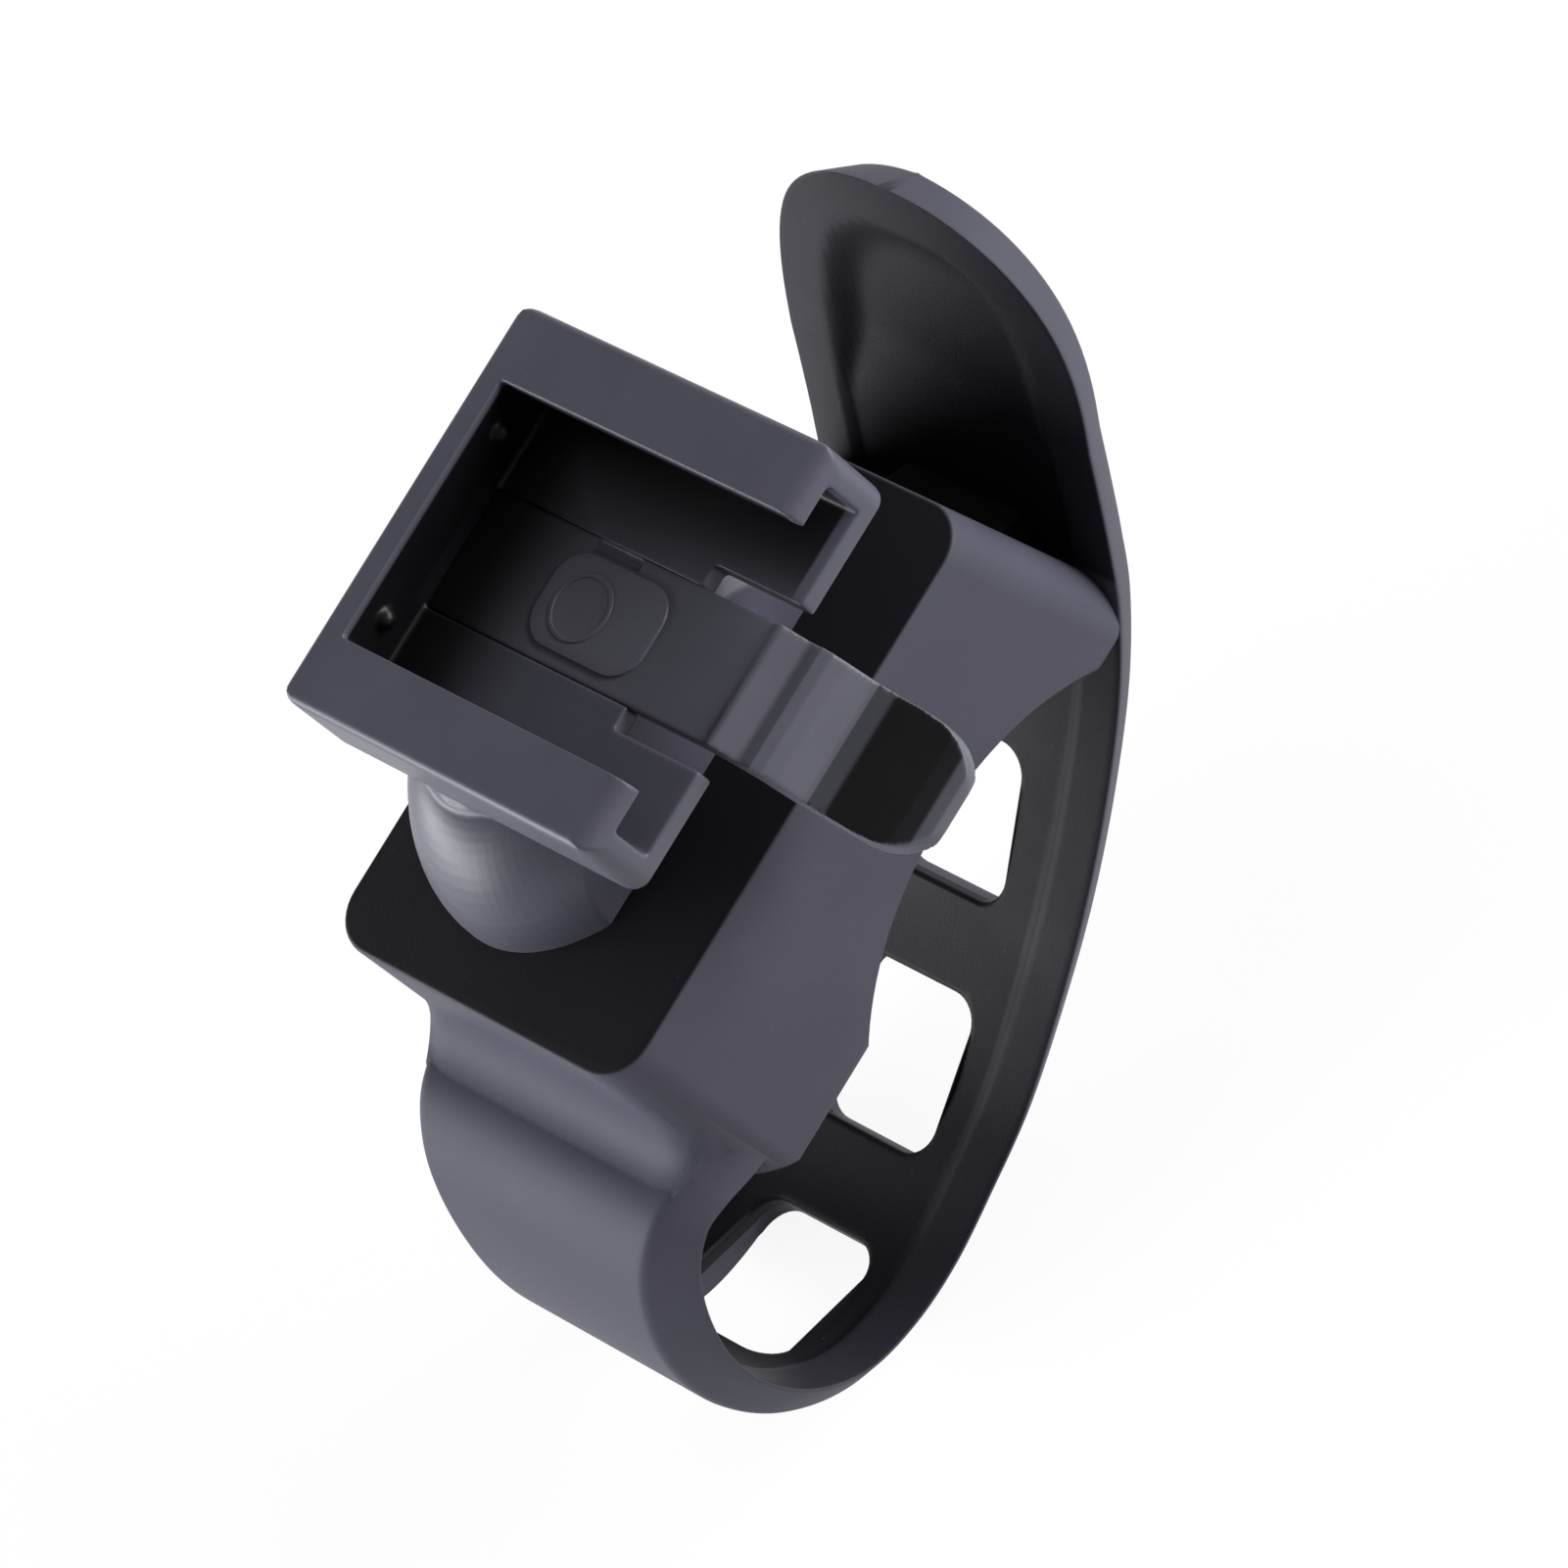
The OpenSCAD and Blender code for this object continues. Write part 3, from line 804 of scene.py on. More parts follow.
def strap_rows(size):
    """Rows along the strap's inner face, from its root to the pull tab's end."""
    last = len(STRAP_LINE) - 1
    rows = []
    for i in range(last):
        knots = [STRAP_LINE[min(max(k, 0), last)] for k in (i - 1, i, i + 1, i + 2)]
        for step in range(LINE_STEPS):
            knot = spline(*knots, step / LINE_STEPS)
            x, z = knot_place(size, knot)
            rows.append({"x": x, "z": z, "half": knot[2] * HALF_L, "slant": knot[3], "lean": 0.0})
    x, z = knot_place(size, STRAP_LINE[last])
    reach = math.hypot(*TAB_RUN)
    for step in range(TAB_STEPS + 1):
        t = math.sin(math.pi / 2 * step / TAB_STEPS)
        past = max(0.0, (t * reach - (reach - size["tab_l"])) / size["tab_l"])
        left_over = max(0.0, 1 - past**TAB_BLUNT)
        rows.append(
            {
                "x": x + TAB_RUN[0] * t + TAB_BOW * math.sin(math.pi * t),
                "z": z + TAB_RUN[1] * t,
                "half": max(HALF_L * left_over ** (1 / TAB_BLUNT), TAB_TIP),
                "slant": STRAP_LINE[last][3],
                "lean": past ** (TAB_BLUNT - 1),
            }
        )
    for i, row in enumerate(rows):
        ahead, behind = rows[min(i + 1, len(rows) - 1)], rows[max(i - 1, 0)]
        along = Vector((ahead["x"] - behind["x"], ahead["z"] - behind["z"])).normalized()
        row["outward"] = Vector((along.y, 0, -along.x))
        row["place"] = Vector((row["x"], 0, row["z"]))
    run_to = 0.0
    for i, row in enumerate(rows):
        if i:
            run_to += (row["place"] - rows[i - 1]["place"]).length
        row["run"] = run_to
    return rows


def ease(value, low, high):
    """0 below low, 1 above high and smooth between."""
    t = min(max((value - low) / (high - low), 0.0), 1.0)
    return t * t * (3 - 2 * t)


def row_before(runs, run):
    """The row before a place along the strap, and the share of the way from there to the next row."""
    i = min(max(bisect.bisect_right(runs, run) - 1, 0), len(runs) - 2)
    return i, (run - runs[i]) / (runs[i + 1] - runs[i])


def strap_ring(size):
    """The strap's section: share of the width, share of the thickness and distance in from the edge."""
    soft = size["strap_edge"]
    columns, turns = 56, 4
    ring = [(-1 + 2 * i / columns, 0.0, soft) for i in range(columns + 1)]
    corner = []
    for k in range(1, turns + 1):
        a = math.pi / 2 * k / turns
        corner.append((soft * (1 - math.cos(a)) / size["strap_t"], soft * (1 - math.sin(a))))
    ring += [(1, level, inset) for level, inset in corner]
    ring += [(1, 0.4, 0), (1, 0.6, 0)]
    ring += [(1, 1 - level, inset) for level, inset in corner[::-1]]
    ring += [(1 - 2 * i / columns, 1.0, soft) for i in range(columns + 1)]
    ring += [(-1, 1 - level, inset) for level, inset in corner]
    ring += [(-1, 0.6, 0), (-1, 0.4, 0)]
    ring += [(-1, level, inset) for level, inset in corner[::-1]]
    return ring


def bend_band(band, rows):
    """Bends the flat strap along its line."""
    runs = [row["run"] for row in rows]
    for vertex in band.data.vertices:
        run, across, depth = vertex.co / MM
        i, share = row_before(runs, run)
        place = rows[i]["place"].lerp(rows[i + 1]["place"], share)
        outward = rows[i]["outward"].lerp(rows[i + 1]["outward"], share)
        vertex.co = (place + outward * depth + Vector((0, across, 0))) * MM
    return point_right_way(band)


def strap_band(size, rows):
    """The strap as a closed flat band, with its windows, before it is bent."""
    body_run = rows[(len(STRAP_LINE) - 1) * LINE_STEPS]["run"]
    start_run = rows[4 * LINE_STEPS]["run"]
    numbers = {}
    for row in rows:
        slope = HALF_L / size["tab_l"] * row["lean"]
        side = 1 / math.hypot(1, slope)
        tab = ease(row["run"], body_run - DISH_FADE[0], body_run + DISH_FADE[1])
        shallow = size["strap_recess"] * ease(row["run"], start_run - RECESS_FADE, start_run)
        values = {
            "run": row["run"],
            "half": row["half"],
            "pinch": min(row["slant"] * side, row["half"] * 0.7),
            "pull": row["slant"] * slope * side,
            "dip": shallow + (size["dish_depth"] - shallow) * tab,
            "ramp": RECESS_RAMP + (DISH_RAMP - RECESS_RAMP) * tab,
        }
        for key, value in values.items():
            numbers.setdefault(key, []).append(value * MM)
    line = wire("strap line", [(row["run"], 0, 0) for row in rows], closed=False, numbers=numbers)
    ring = strap_ring(size)
    spans, levels, insets = (list(values) for values in zip(*ring))
    section = wire(
        "strap section",
        [(span, level, 0) for span, level in zip(spans, levels)],
        numbers={"span": spans, "level": levels, "inset": [inset * MM for inset in insets]},
    )
    edge = [(row["run"], row["half"], 0) for row in rows]
    edge += [(run, -half, 0) for run, half, _ in edge[::-1]]
    outline = wire("strap outline", edge)
    inputs = {
        "Section": section,
        "Outline": outline,
        "Thickness": size["strap_t"],
        "Border": size["strap_border"],
    }
    run_tree(line, strap_sweep_tree(), inputs)
    discard(section)
    discard(outline)
    return cut_windows(size, point_right_way(line), rows)


def place_at(rows, run):
    """The place and angle on the strap's inner face that far along it."""
    i, share = row_before([row["run"] for row in rows], run)
    place = rows[i]["place"].lerp(rows[i + 1]["place"], share)
    along = (rows[i + 1]["place"] - rows[i]["place"]).normalized()
    return place, math.atan2(along.z, along.x)


def hook_run(rows):
    """How far along the strap the hook stands."""
    return rows[(len(STRAP_LINE) - 3) * LINE_STEPS]["run"]


def cut_windows(size, band, rows):
    """Cuts the row of windows through the strap."""
    first = hook_run(rows) - size["window_l"] / 2
    places = [(first - k * size["window_pitch"], 0, 0) for k in range(WINDOW_COUNT)]
    points = mesh_object("window places", places)
    inputs = {
        "Places": points,
        "Length": size["window_l"],
        "Width": size["window_w"],
        "Corner": size["window_r"],
        "Inner Face": size["strap_recess"],
        "Outer Face": size["strap_t"],
        "Edge Round": size["strap_edge"],
    }
    run_tree(band, strap_windows_tree(), inputs)
    discard(points)
    return band


def saddle_top(size):
    """The height of the saddle's top."""
    return BAR_R + size["saddle_rise"]


def saddle_sides(size):
    """The saddle's two sides at its top: the root's and the hook's."""
    middle, half = -size["seat_offset"], size["saddle_w"] / 2
    return middle - half, middle + half


def flank_slope(size):
    """How far the flank on the hook's side leans out for each millimetre down."""
    return size["flank_lean"] / (size["jaw_depth"] - HOOK_FOOT[0][1])


def saddle_block(size):
    """The block that sits on the bar, with its jaws, round upright corners and seat."""
    top = saddle_top(size)
    foot = top - size["jaw_depth"]
    left, right = saddle_sides(size)
    jaw_angle = math.degrees(math.asin(foot / BAR_R))
    # The outline stands just clear of the plan's flank, so that no two faces share a plane
    outline = [(left, top + PAST), (right - 0.15, top + PAST)]
    outline += [(right + size["flank_lean"] + x, foot + z) for x, z in HOOK_FOOT]
    outline += arc((0, 0), BAR_R, jaw_angle, 180 - jaw_angle, 64)
    outline += [(left + x, foot + z) for x, z in ROOT_FOOT]
    block = prism("saddle block", outline, "y", -HALF_L - PAST, HALF_L + PAST)
    plan = rounded((left, -HALF_L), (right, HALF_L), (size["saddle_corner"],) * 4, 10)
    rings = []
    for z in (foot - PAST, top):
        lean = flank_slope(size) * (top - z)
        rings.append([(x + (lean if x > 0 else 0), y, z) for x, y in plan])
    combine(block, stack("plan", rings), "INTERSECT")
    soften(block, 0.25)
    for side in (-1, 1):
        combine(block, seat_cone(size, side), "DIFFERENCE")
    return block


def seat_cone(size, side):
    """What cuts the chamfer round one end of the seat."""
    chamfer = size["seat_chamfer"]
    rings = []
    for reach, radius in ((HALF_L - chamfer, BAR_R), (HALF_L + chamfer, BAR_R + 2 * chamfer)):
        rings.append([(x, side * reach, z) for x, z in circle((0, 0), radius, 128)])
    return stack("seat cone", rings)


def root_fillet(size):
    """The valley where the strap leaves the saddle, bent round the saddle's two upright corners."""
    left, _ = saddle_sides(size)
    radius = size["root_fillet"]
    inner_z = knot_place(size, STRAP_LINE[2])[1]
    outer_z = inner_z + size["strap_t"]
    outline = [(left + PAST, outer_z + radius + PAST)]
    outline += arc((left - radius, outer_z - 0.1 + radius), radius, 0, -78, 13)
    outline += [(left - radius, outer_z - PAST), (left + PAST, inner_z + 0.5)]
    corner = size["saddle_corner"]
    columns = 48
    rings = []
    for i in range(columns + 1):
        y = (HALF_L - 0.25) * (2 * i / columns - 1)
        round_y = max(0.0, abs(y) - (HALF_L - corner))
        setback = corner - math.sqrt(corner * corner - round_y * round_y)
        ring = []
        for x, z in outline:
            out = min(max((left - x) / radius, 0.0), 1.0)
            ring.append((x + setback * (1 - out), y * (1 - VALLEY_TAPER * out), z))
        rings.append(ring)
    return stack("root fillet", rings)


def mark_inner_shade(body, size, rows):
    """Marks where shade is painted on the strap's inner face in a point attribute, less on its border."""
    line = KDTree(len(rows))
    for i, row in enumerate(rows):
        line.insert(row["place"], i)
    line.balance()
    top = saddle_top(size)
    _, right = saddle_sides(size)
    marks = []
    for vertex in body.data.vertices:
        spot = vertex.co / MM
        row = rows[line.find((spot.x, 0, spot.z))[1]]
        depth = (spot - row["place"]).dot(row["outward"])
        inside = min(row["half"] - abs(spot.y), rows[-1]["run"] - row["run"])
        saddle_edge = right + flank_slope(size) * (top - spot.z) + 0.1
        mark = 0.0
        if spot.z < top - size["jaw_depth"] - 0.1 or spot.x > saddle_edge:
            if FACE_BAND[0] < depth < FACE_BAND[1]:
                mark = 0.8
            elif 0 < depth < WALL_DEPTH and inside > WALL_INSET:
                mark = 1.0
        marks.append(mark)
    layer = body.data.attributes.new("inner_face", "FLOAT", "POINT")
    layer.data.foreach_set("value", marks)


def rubber_shade_mask(tree, coordinates):
    """Where shade is painted: on the saddle's top face and on the strap's inner face."""
    size = sizes()
    top = saddle_top(size) * MM
    left, right = saddle_sides(size)
    place = apart(tree, coordinates)
    level = between(tree, place["Z"], top - 0.4 * MM, top + PAST * MM, 0.1 * MM)
    side = between(tree, place["X"], (left - PAST) * MM, (right + PAST) * MM, 0.1 * MM)
    top_face = maths(tree, "MULTIPLY", maths(tree, "MULTIPLY", facing_up(tree, 0.6, 0.95), level), side)
    inner = add_node(tree, "ShaderNodeAttribute", attribute_name="inner_face").outputs["Fac"]
    return maths(tree, "MAXIMUM", top_face, inner)


class RubberPiece(bpy.types.Operator):
    """Makes the rubber saddle with its strap, windows and pull tab."""

    bl_idname = "clip.rubber"
    bl_label = "Saddle and strap"

    def execute(self, context):
        size = sizes()
        colours = context.scene.clip_colours
        rows = strap_rows(size)
        band = bend_band(strap_band(size, rows), rows)
        body = fused("saddle_and_strap", [saddle_block(size), root_fillet(size), band])
        mark_inner_shade(body, size, rows)
        # The second colour is painted shade on the saddle's top and on the strap's inner face
        finish = material(
            "strap rubber",
            colours.rubber,
            roughness=0.55,
            grain_scale=7000.0,
            grain_depth=0.02,
            specular=0.12,
            mask=rubber_shade_mask,
            second=colours.painted_shade,
        )
        finish_piece(body, finish, nodes=["strap_saddle"])
        return {"FINISHED"}


# Holder


def holder_levels(size):
    """The holder's underside, its floor and its face."""
    under = FACE_Z - size["holder_h"]
    return under, under + size["floor_t"], FACE_Z


def closed_wall(size):
    """The inner face of the slot's closed wall."""
    return OPEN_Y + size["holder_l"] - size["end_wall"]


def tongue_span():
    """The tongue's two sides."""
    return LATCH_LOW.x, LATCH_HIGH.x


def holder_shell(size):
    """The tray with its two lips, round corners and rolled ends."""
    under, floor, face = holder_levels(size)
    closed, inner = OPEN_Y + size["holder_l"], closed_wall(size)
    half = size["holder_w"] / 2
    plan = rounded((HOLDER_X - half, OPEN_Y), (HOLDER_X + half, closed), (size["holder_corner"],) * 4)
    shell = prism("holder shell", plan, "z", under, face)
    # The side's corners, from the open end's underside round to the rolled ends of the lips
    side = rounded((OPEN_Y, under), (closed, face), (0.15, 0.3, 0.4, size["lip_roll"]), 12)
    side_prism = prism("side", side, "x", HOLDER_X - half - PAST, HOLDER_X + half + PAST)
    combine(shell, side_prism, "INTERSECT")
    front = rounded((HOLDER_X - half, under), (HOLDER_X + half, face), (0.45,) * 4)
    combine(shell, prism("front", front, "y", OPEN_Y - PAST, closed + PAST), "INTERSECT")
    slot_half, mouth_half = size["slot_w"] / 2, size["mouth_w"] / 2
    slot_top = floor + size["slot_h"]
    low_x, high_x = tongue_span()
    gap, seam = size["tongue_gap"], size["seam"]
    start = OPEN_Y - PAST
    cuts = [
        ((HOLDER_X - slot_half, start, floor), (HOLDER_X + slot_half, inner, slot_top)),
        ((HOLDER_X - mouth_half, start, floor + 0.5), (HOLDER_X + mouth_half, inner, face + PAST)),
        ((low_x - gap, start, under - PAST), (high_x + gap, BEND_Y, floor + PAST)),
        ((low_x - seam, BEND_Y - PAST, under - 0.3), (high_x + seam, inner + 0.01, floor + PAST)),
    ]
    for low, high in cuts:
        combine(shell, box("cut", low, high), "DIFFERENCE")
    return shell


def pedestal(size):
    """The bulging post under the holder, cut back under the tongue."""
    top = saddle_top(size)
    under, _, _ = holder_levels(size)
    middle_x = PEDESTAL_PLACE[0] - size["seat_offset"]
    middle_y = PEDESTAL_PLACE[1] + OPEN_Y + size["holder_l"] / 2
    steps = 14
    rings = []
    for k in range(steps + 1):
        a = math.pi / 2 * k / steps
        share = PEDESTAL_NECK + (1 - PEDESTAL_NECK) * math.cos(a) ** PEDESTAL_BULGE
        sink = {0: -0.3, steps: 0.3}.get(k, 0)
        z = top + (under - top) * math.sin(a) + sink
        ring = []
        for x, y in circle((0, 0), share, 96):
            ring.append((middle_x + size["pedestal_a"] * x, middle_y + size["pedestal_b"] * y, z))
        rings.append(ring)
    far = size["saddle_w"]
    cut = box("cut", (-far, OPEN_Y - 3, top - PAST), (far, BEND_Y + 0.9, under + 2))
    return combine(stack("pedestal", rings), cut, "DIFFERENCE")


def catch_domes(size):
    """Two small domes on the closed wall."""
    reach = size["mouth_w"] / 2 - size["catch_in"]
    height = FACE_Z - size["catch_in"]
    places = [(HOLDER_X + side * reach, closed_wall(size), height) for side in (-1, 1)]
    return run_tree(mesh_object("catch domes", places), dome_tree(), {"Radius": size["catch_r"]})


def slot_shade_mask(tree, coordinates):
    """Where shade is painted inside the slot: deeper towards its closed end and under the lip on its +X side.
    """
    size = sizes()
    _, floor, face = holder_levels(size)
    inner = closed_wall(size)
    half = size["slot_w"] / 2 + 0.05
    x, y, z = apart(tree, coordinates)
    inside = between(tree, x, (HOLDER_X - half) * MM, (HOLDER_X + half) * MM, 0.05 * MM)
    level = between(tree, z, (floor - 0.3) * MM, (face - 0.4) * MM, 0.1 * MM)
    reach = between(tree, y, (OPEN_Y + 0.8) * MM, (inner + 0.1) * MM, 0.1 * MM)
    end = [(inner - back) * MM for back in SLOT_SHADE_END]
    deep = mapped(tree, y, end, (0.05, 1.0), "SMOOTHSTEP")
    lip = ((HOLDER_X + SLOT_SHADE_SIDE[0]) * MM, (HOLDER_X + half - SLOT_SHADE_SIDE[1]) * MM)
    under_lip = mapped(tree, x, lip, (0.0, 0.95), "SMOOTHSTEP")
    inside = maths(tree, "MULTIPLY", inside, maths(tree, "MULTIPLY", level, reach))
    return maths(tree, "MULTIPLY", inside, maths(tree, "MAXIMUM", deep, under_lip))


def floor_pad(size):
    """The low pad with its ring on the holder's floor."""
    _, floor, _ = holder_levels(size)
    middle = Vector((HOLDER_X, OPEN_Y + size["holder_l"] / 2)) + PAD_PLACE
    half = Vector((size["pad_w"] / 2, size["pad_l"] / 2))
    plan = rounded(middle - half, middle + half, (size["pad_r"],) * 4, 10)
    pad = soften(prism("floor_pad", plan, "z", floor - 0.1, floor + size["pad_h"]), 0.05)
    centre = middle + RING_PLACE
    ring = prism("ring", circle(centre, size["ring_r"], 60), "z", floor, floor + size["ring_h"])
    inside = circle(centre, size["ring_r"] - size["ring_w"], 60)
    combine(ring, prism("hole", inside, "z", floor - PAST, floor + PAST), "DIFFERENCE")
    return fused("floor_pad", [pad, soften(ring, 0.04)])


class HolderPiece(bpy.types.Operator):
    """Makes the holder with its pedestal and catch domes."""

    bl_idname = "clip.holder"
    bl_label = "Holder"

    def execute(self, context):
        size = sizes()
        parts = [holder_shell(size), pedestal(size), catch_domes(size)]
        body = moulded("light_holder", parts, size["plastic_voxel"], smoothing=2, budget=190000)
        colours = context.scene.clip_colours
        # The second colour is painted shade inside the slot, towards its closed end and under its lip
        finish = material(
            "holder plastic",
            colours.plastic,
            roughness=0.42,
            specular=0.3,
            mask=slot_shade_mask,
            second=colours.thumb,
        )
        finish_piece(body, finish, nodes=["holder"])
        pad_finish = material("pad plastic", colours.tongue, roughness=0.36)
        finish_piece(floor_pad(size), pad_finish)
        return {"FINISHED"}


# Release tongue


def tongue_profile(size):
    """The tongue's outline along the bar, from the closed wall to the thumb tab's end."""
    under, floor, _ = holder_levels(size)
    inner = closed_wall(size)
    steps = 24
    back = [(inner - (inner - OPEN_Y - 1) * i / steps, floor) for i in range(steps + 1)]
    thumb = [(OPEN_Y + along, floor + height) for along, height in THUMB_LINE]
    return back + thumb + [(OPEN_Y + 1, under), (inner, under)]


def thumb_and_slot_shade_mask(tree, coordinates):
    """Where shade is painted: on the thumb tab's upward face and inside the slot."""
    edge = (OPEN_Y + THUMB_SHADE_START) * MM
    thumb = between(tree, apart(tree, coordinates)["Y"], -50 * MM, edge, 0.02 * MM)
    thumb = maths(tree, "MULTIPLY", thumb, facing_up(tree, 0.66, 0.86))
    return maths(tree, "MAXIMUM", thumb, slot_shade_mask(tree, coordinates))


class TonguePiece(bpy.types.Operator):
    """Makes the release tongue."""

    bl_idname = "clip.tongue"
    bl_label = "Release tongue"

    def execute(self, context):
        size = sizes()
        colours = context.scene.clip_colours
        low_x, high_x = tongue_span()
        _, floor, _ = holder_levels(size)
        tongue = prism("tongue", tongue_profile(size), "x", low_x, high_x)
        r = size["thumb_r"]
        far = closed_wall(size) + PAST
        plan = rounded((low_x, OPEN_Y + THUMB_END), (high_x, far), (r, r, 0.1, 0.1), 12)
        combine(tongue, prism("plan", plan, "z", floor - 12, floor + 4), "INTERSECT")
        notch_x, reach = high_x - 0.05, size["notch_l"] / 2
        notch = box(
            "notch",
            (notch_x - size["notch_w"], -reach, floor - size["notch_h"]),
            (notch_x, reach, floor + PAST),
        )
        combine(tongue, notch, "DIFFERENCE")
        body = moulded("release_tongue", [tongue], size["tongue_voxel"], smoothing=6, budget=120000)
        # The second colour is painted shade on the thumb tab's face and inside the slot
        finish = material(
            "tongue plastic",
            colours.tongue,
            roughness=0.4,
            specular=0.3,
            mask=thumb_and_slot_shade_mask,
            second=colours.thumb,
        )
        finish_piece(body, finish, body=None, nodes=["latch"])
        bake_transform(body)
        return {"FINISHED"}


# Hook


class HookPiece(bpy.types.Operator):
    """Makes the hook that holds the strap under the jaw."""

    bl_idname = "clip.hook"
    bl_label = "Hook"

    def execute(self, context):
        size = sizes()
        rows = strap_rows(size)
        place, angle = place_at(rows, hook_run(rows))
        reach = size["strap_t"] + 0.3
        tip = -reach - size["hook_nose_t"]
        nose_l = size["hook_nose"]
        arm = rounded((-0.1 - size["hook_arm"], tip), (-0.1, size["hook_arm_l"]), (0.4, 0.1, 0.1, 0.1))
        nose = rounded((-nose_l, tip), (nose_l, -reach), (0.4, 0.5, 0.5, 0.1))
        arm_half = size["window_w"] / 2 - size["hook_play"]
        turn = Matrix.Translation(place * MM) @ Matrix.Rotation(-angle, 4, "Y")
        parts = []
        for outline, half in ((arm, arm_half), (nose, size["hook_nose_w"] / 2)):
            part = prism("hook part", outline, "y", -half, half)
            part.data.transform(turn)
            parts.append(part)
        body = moulded("strap_hook", parts, size["hook_voxel"], smoothing=2, budget=60000)
        # Painted shade: the hook takes the near-black shade colour, since it lies in the shade between the
        # pull tab and the saddle
        finish = material("hook plastic", context.scene.clip_colours.painted_shade, roughness=0.45)
        finish_piece(body, finish)
        return {"FINISHED"}


# Stage

VIEW_RIGHT = Vector((0.520, -0.690, -0.503))
VIEW_UP = Vector((0.8475, 0.3455, 0.403))
VIEW_TARGET = Vector((-2.711, -5.870, 22.393)) * MM
VIEW_DISTANCE = 0.5
VIEW_LENS = 224.9

# Each softbox's direction from the clip, its sizes in metres, its power and its tint
SOFTBOXES = {
    "right softbox": ((0.80, -0.58, 0.26), (0.7, 0.3), 6.6, (1, 1, 1)),
    "left softbox": ((-0.78, 0.60, 0.20), (0.7, 0.26), 7.0, (0.96, 0.97, 1)),
}
SOFTBOX_DISTANCE = 0.6

# The floor's place below the clip and half its side in millimetres, how strongly it glows to the camera
# and in reflections, what share of it glows, and how strongly the world lights the clip
FLOOR_GAP = 0.2 * MM
FLOOR_HALF = 4000
FLOOR_GLOW = 1.12
GLOW_SHARE = 0.8
WORLD_LIGHT = 0.2


def add_softbox(name, direction, size, power, tint):
    """A wide soft lamp that faces the clip from that direction."""
    data = bpy.data.lights.new(name, "AREA")
    data.shape = "RECTANGLE"
    data.size, data.size_y = size
    data.energy = power
    data.color = tint
    lamp = link(bpy.data.objects.new(name, data))
    way = Vector(direction).normalized()
    lamp.location = VIEW_TARGET + way * SOFTBOX_DISTANCE
    lamp.rotation_euler = way.to_track_quat("Z", "Y").to_euler()


def add_camera(scene):
    """The camera, placed as the photograph's was."""
    right = VIEW_RIGHT.normalized()
    up = (VIEW_UP - VIEW_UP.dot(right) * right).normalized()
    back = right.cross(up)
    data = bpy.data.cameras.new("camera")
    data.sensor_width = 36
    data.lens = VIEW_LENS
    data.clip_start = 0.01
    data.clip_end = 20
    camera = link(bpy.data.objects.new("camera", data))
    turn = Matrix((right, up, back)).transposed().to_4x4()
    camera.matrix_world = Matrix.Translation(VIEW_TARGET + back * VIEW_DISTANCE) @ turn
    scene.camera = camera


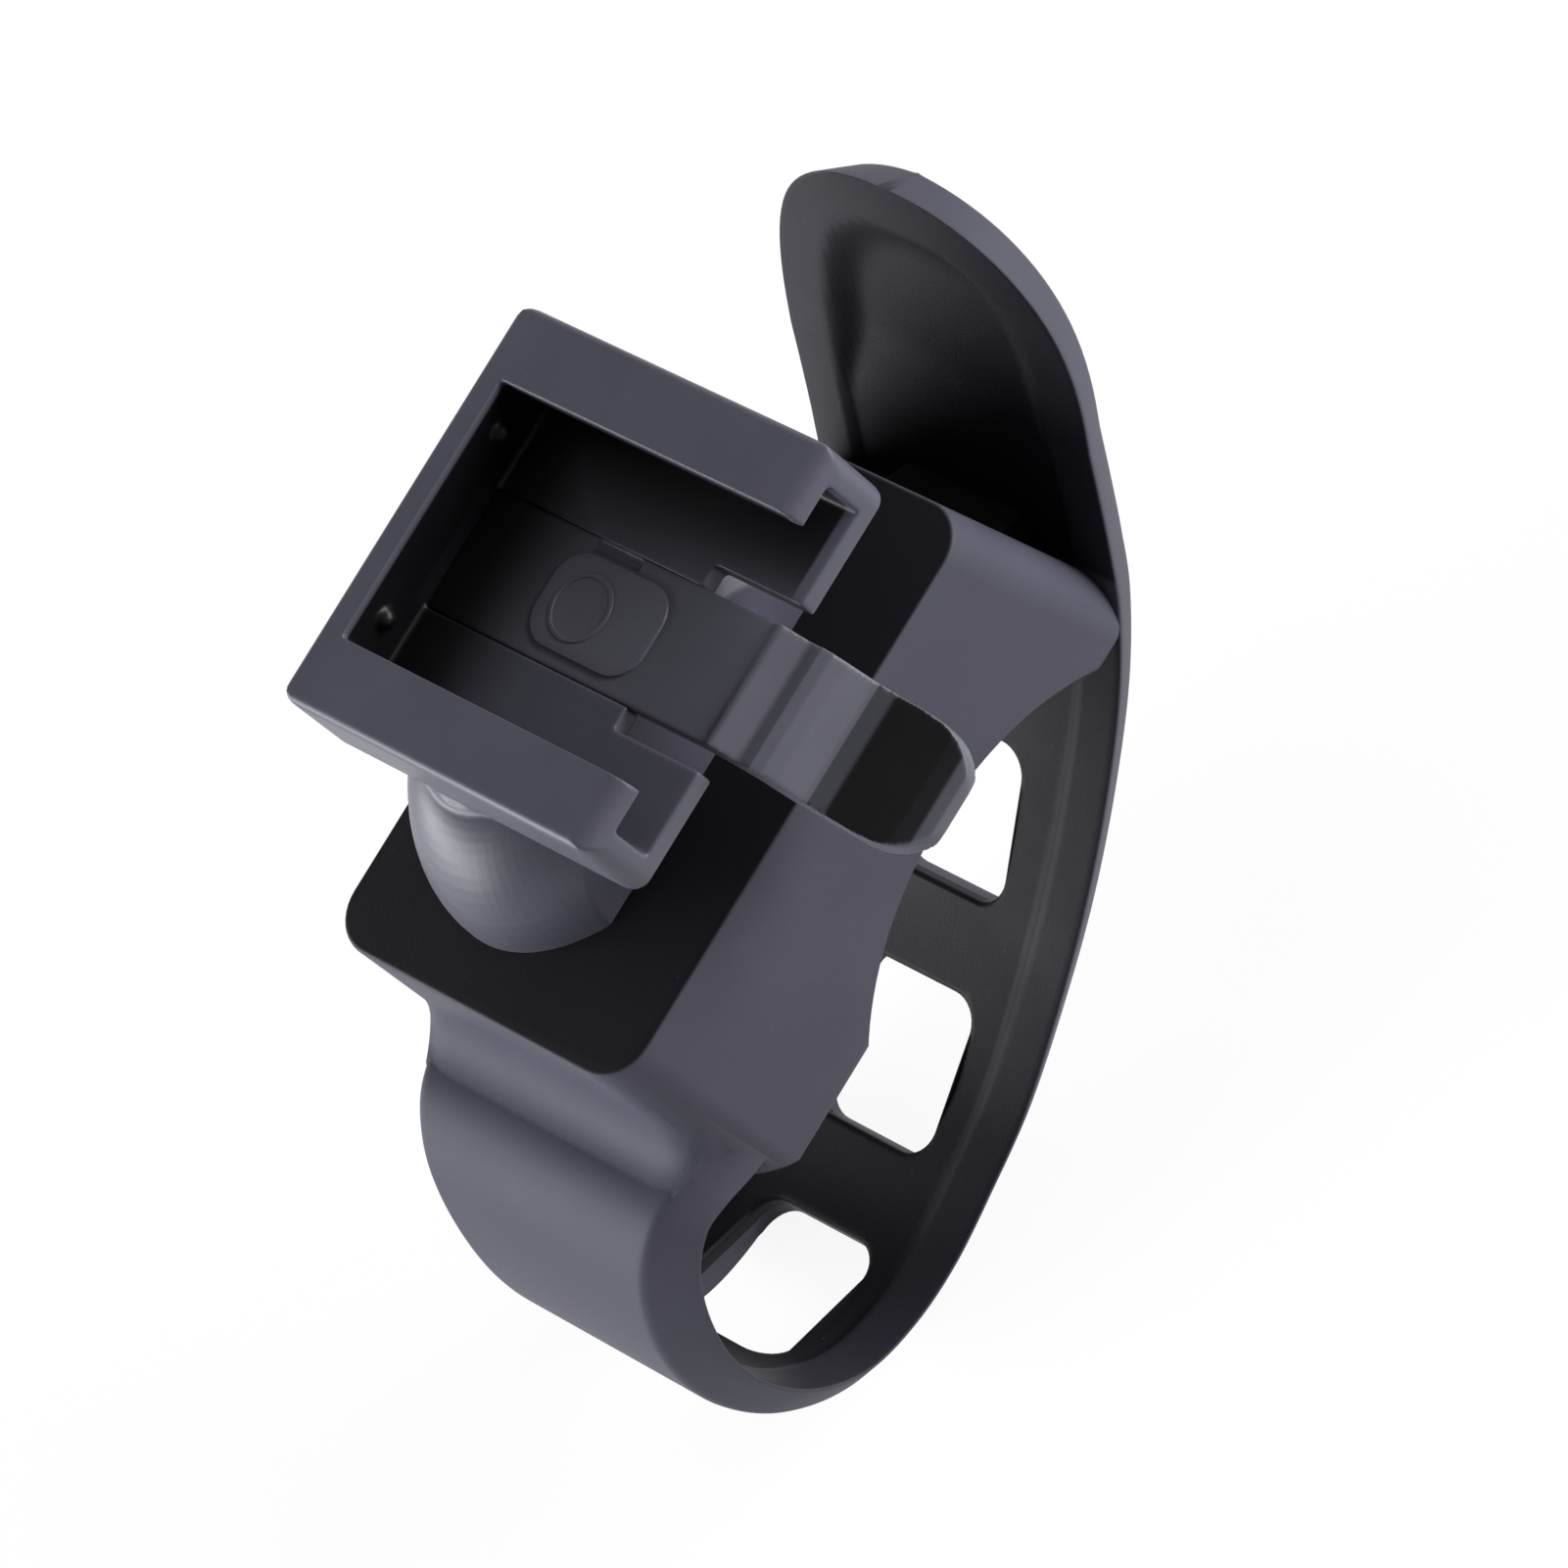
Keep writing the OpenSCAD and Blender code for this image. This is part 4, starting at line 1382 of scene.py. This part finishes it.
def add_floor(scene):
    """The white floor under the clip, which keeps its shadow."""
    corners = [(x * FLOOR_HALF, y * FLOOR_HALF, 0) for x, y in ((-1, -1), (1, -1), (1, 1), (-1, 1))]
    floor = mesh_object("floor", corners, [[0, 1, 2, 3]])
    floor.location.z = CAD_LOW.z - FLOOR_GAP
    paint = bpy.data.materials.new("floor paint")
    paint.use_nodes = True
    tree = paint.node_tree
    shader = tree.nodes["Principled BSDF"]
    shader.inputs["Base Color"].default_value = (*scene.clip_colours.floor, 1)
    shader.inputs["Roughness"].default_value = 0.9
    path = add_node(tree, "ShaderNodeLightPath").outputs
    seen = maths(tree, "MAXIMUM", path["Is Camera Ray"], path["Is Glossy Ray"])
    glow = add_node(tree, "ShaderNodeEmission", {"Color": (1, 1, 1, 1), "Strength": FLOOR_GLOW})
    share = maths(tree, "MULTIPLY", seen, GLOW_SHARE)
    mix = add_node(tree, "ShaderNodeMixShader", {0: share, 1: shader.outputs[0], 2: glow.outputs[0]})
    tree.links.new(mix.outputs[0], tree.nodes["Material Output"].inputs["Surface"])
    floor.data.materials.append(paint)


def add_world(scene):
    """A white world that lights the clip only a little."""
    world = bpy.data.worlds.new("studio")
    world.use_nodes = True
    scene.world = world
    tree = world.node_tree
    seen = add_node(tree, "ShaderNodeLightPath").outputs["Is Camera Ray"]
    strength = mapped(tree, seen, (0.0, 1.0), (WORLD_LIGHT, 1.0))
    tree.links.new(strength, tree.nodes["Background"].inputs["Strength"])
    tree.nodes["Background"].inputs["Color"].default_value = (1, 1, 1, 1)


class StagePiece(bpy.types.Operator):
    """Makes the floor, the lamps, the world and the camera."""

    bl_idname = "clip.stage"
    bl_label = "Stage"

    def execute(self, context):
        add_camera(context.scene)
        add_floor(context.scene)
        add_world(context.scene)
        for name, lamp in SOFTBOXES.items():
            add_softbox(name, *lamp)
        context.scene.view_settings.view_transform = "Standard"
        return {"FINISHED"}


class ClipPanel(bpy.types.Panel):
    """Lists the clip's pieces and the stage."""

    bl_idname = "CLIP_PT_pieces"
    bl_label = "Light clip"
    bl_space_type = "VIEW_3D"
    bl_region_type = "UI"
    bl_category = "Light clip"

    def draw(self, context):
        for operator in PIECES:
            self.layout.operator(operator.bl_idname)
        for group in (context.scene.clip_sizes, context.scene.clip_colours):
            for name in group.__annotations__:
                self.layout.prop(group, name)


PIECES = (RubberPiece, HolderPiece, TonguePiece, HookPiece, StagePiece)
CLASSES = (ClipSizes, ClipColours, *PIECES, ClipPanel)


def register():
    for item in CLASSES:
        bpy.utils.register_class(item)
    bpy.types.Scene.clip_sizes = bpy.props.PointerProperty(type=ClipSizes)
    bpy.types.Scene.clip_colours = bpy.props.PointerProperty(type=ClipColours)


def unregister():
    del bpy.types.Scene.clip_colours
    del bpy.types.Scene.clip_sizes
    for item in reversed(CLASSES):
        bpy.utils.unregister_class(item)


def main():
    register()
    mould_grain_group()
    dust_group()
    bpy.ops.clip.rubber()
    bpy.ops.clip.holder()
    bpy.ops.clip.tongue()
    bpy.ops.clip.hook()
    bpy.ops.clip.stage()


if __name__ == "__main__":
    main()
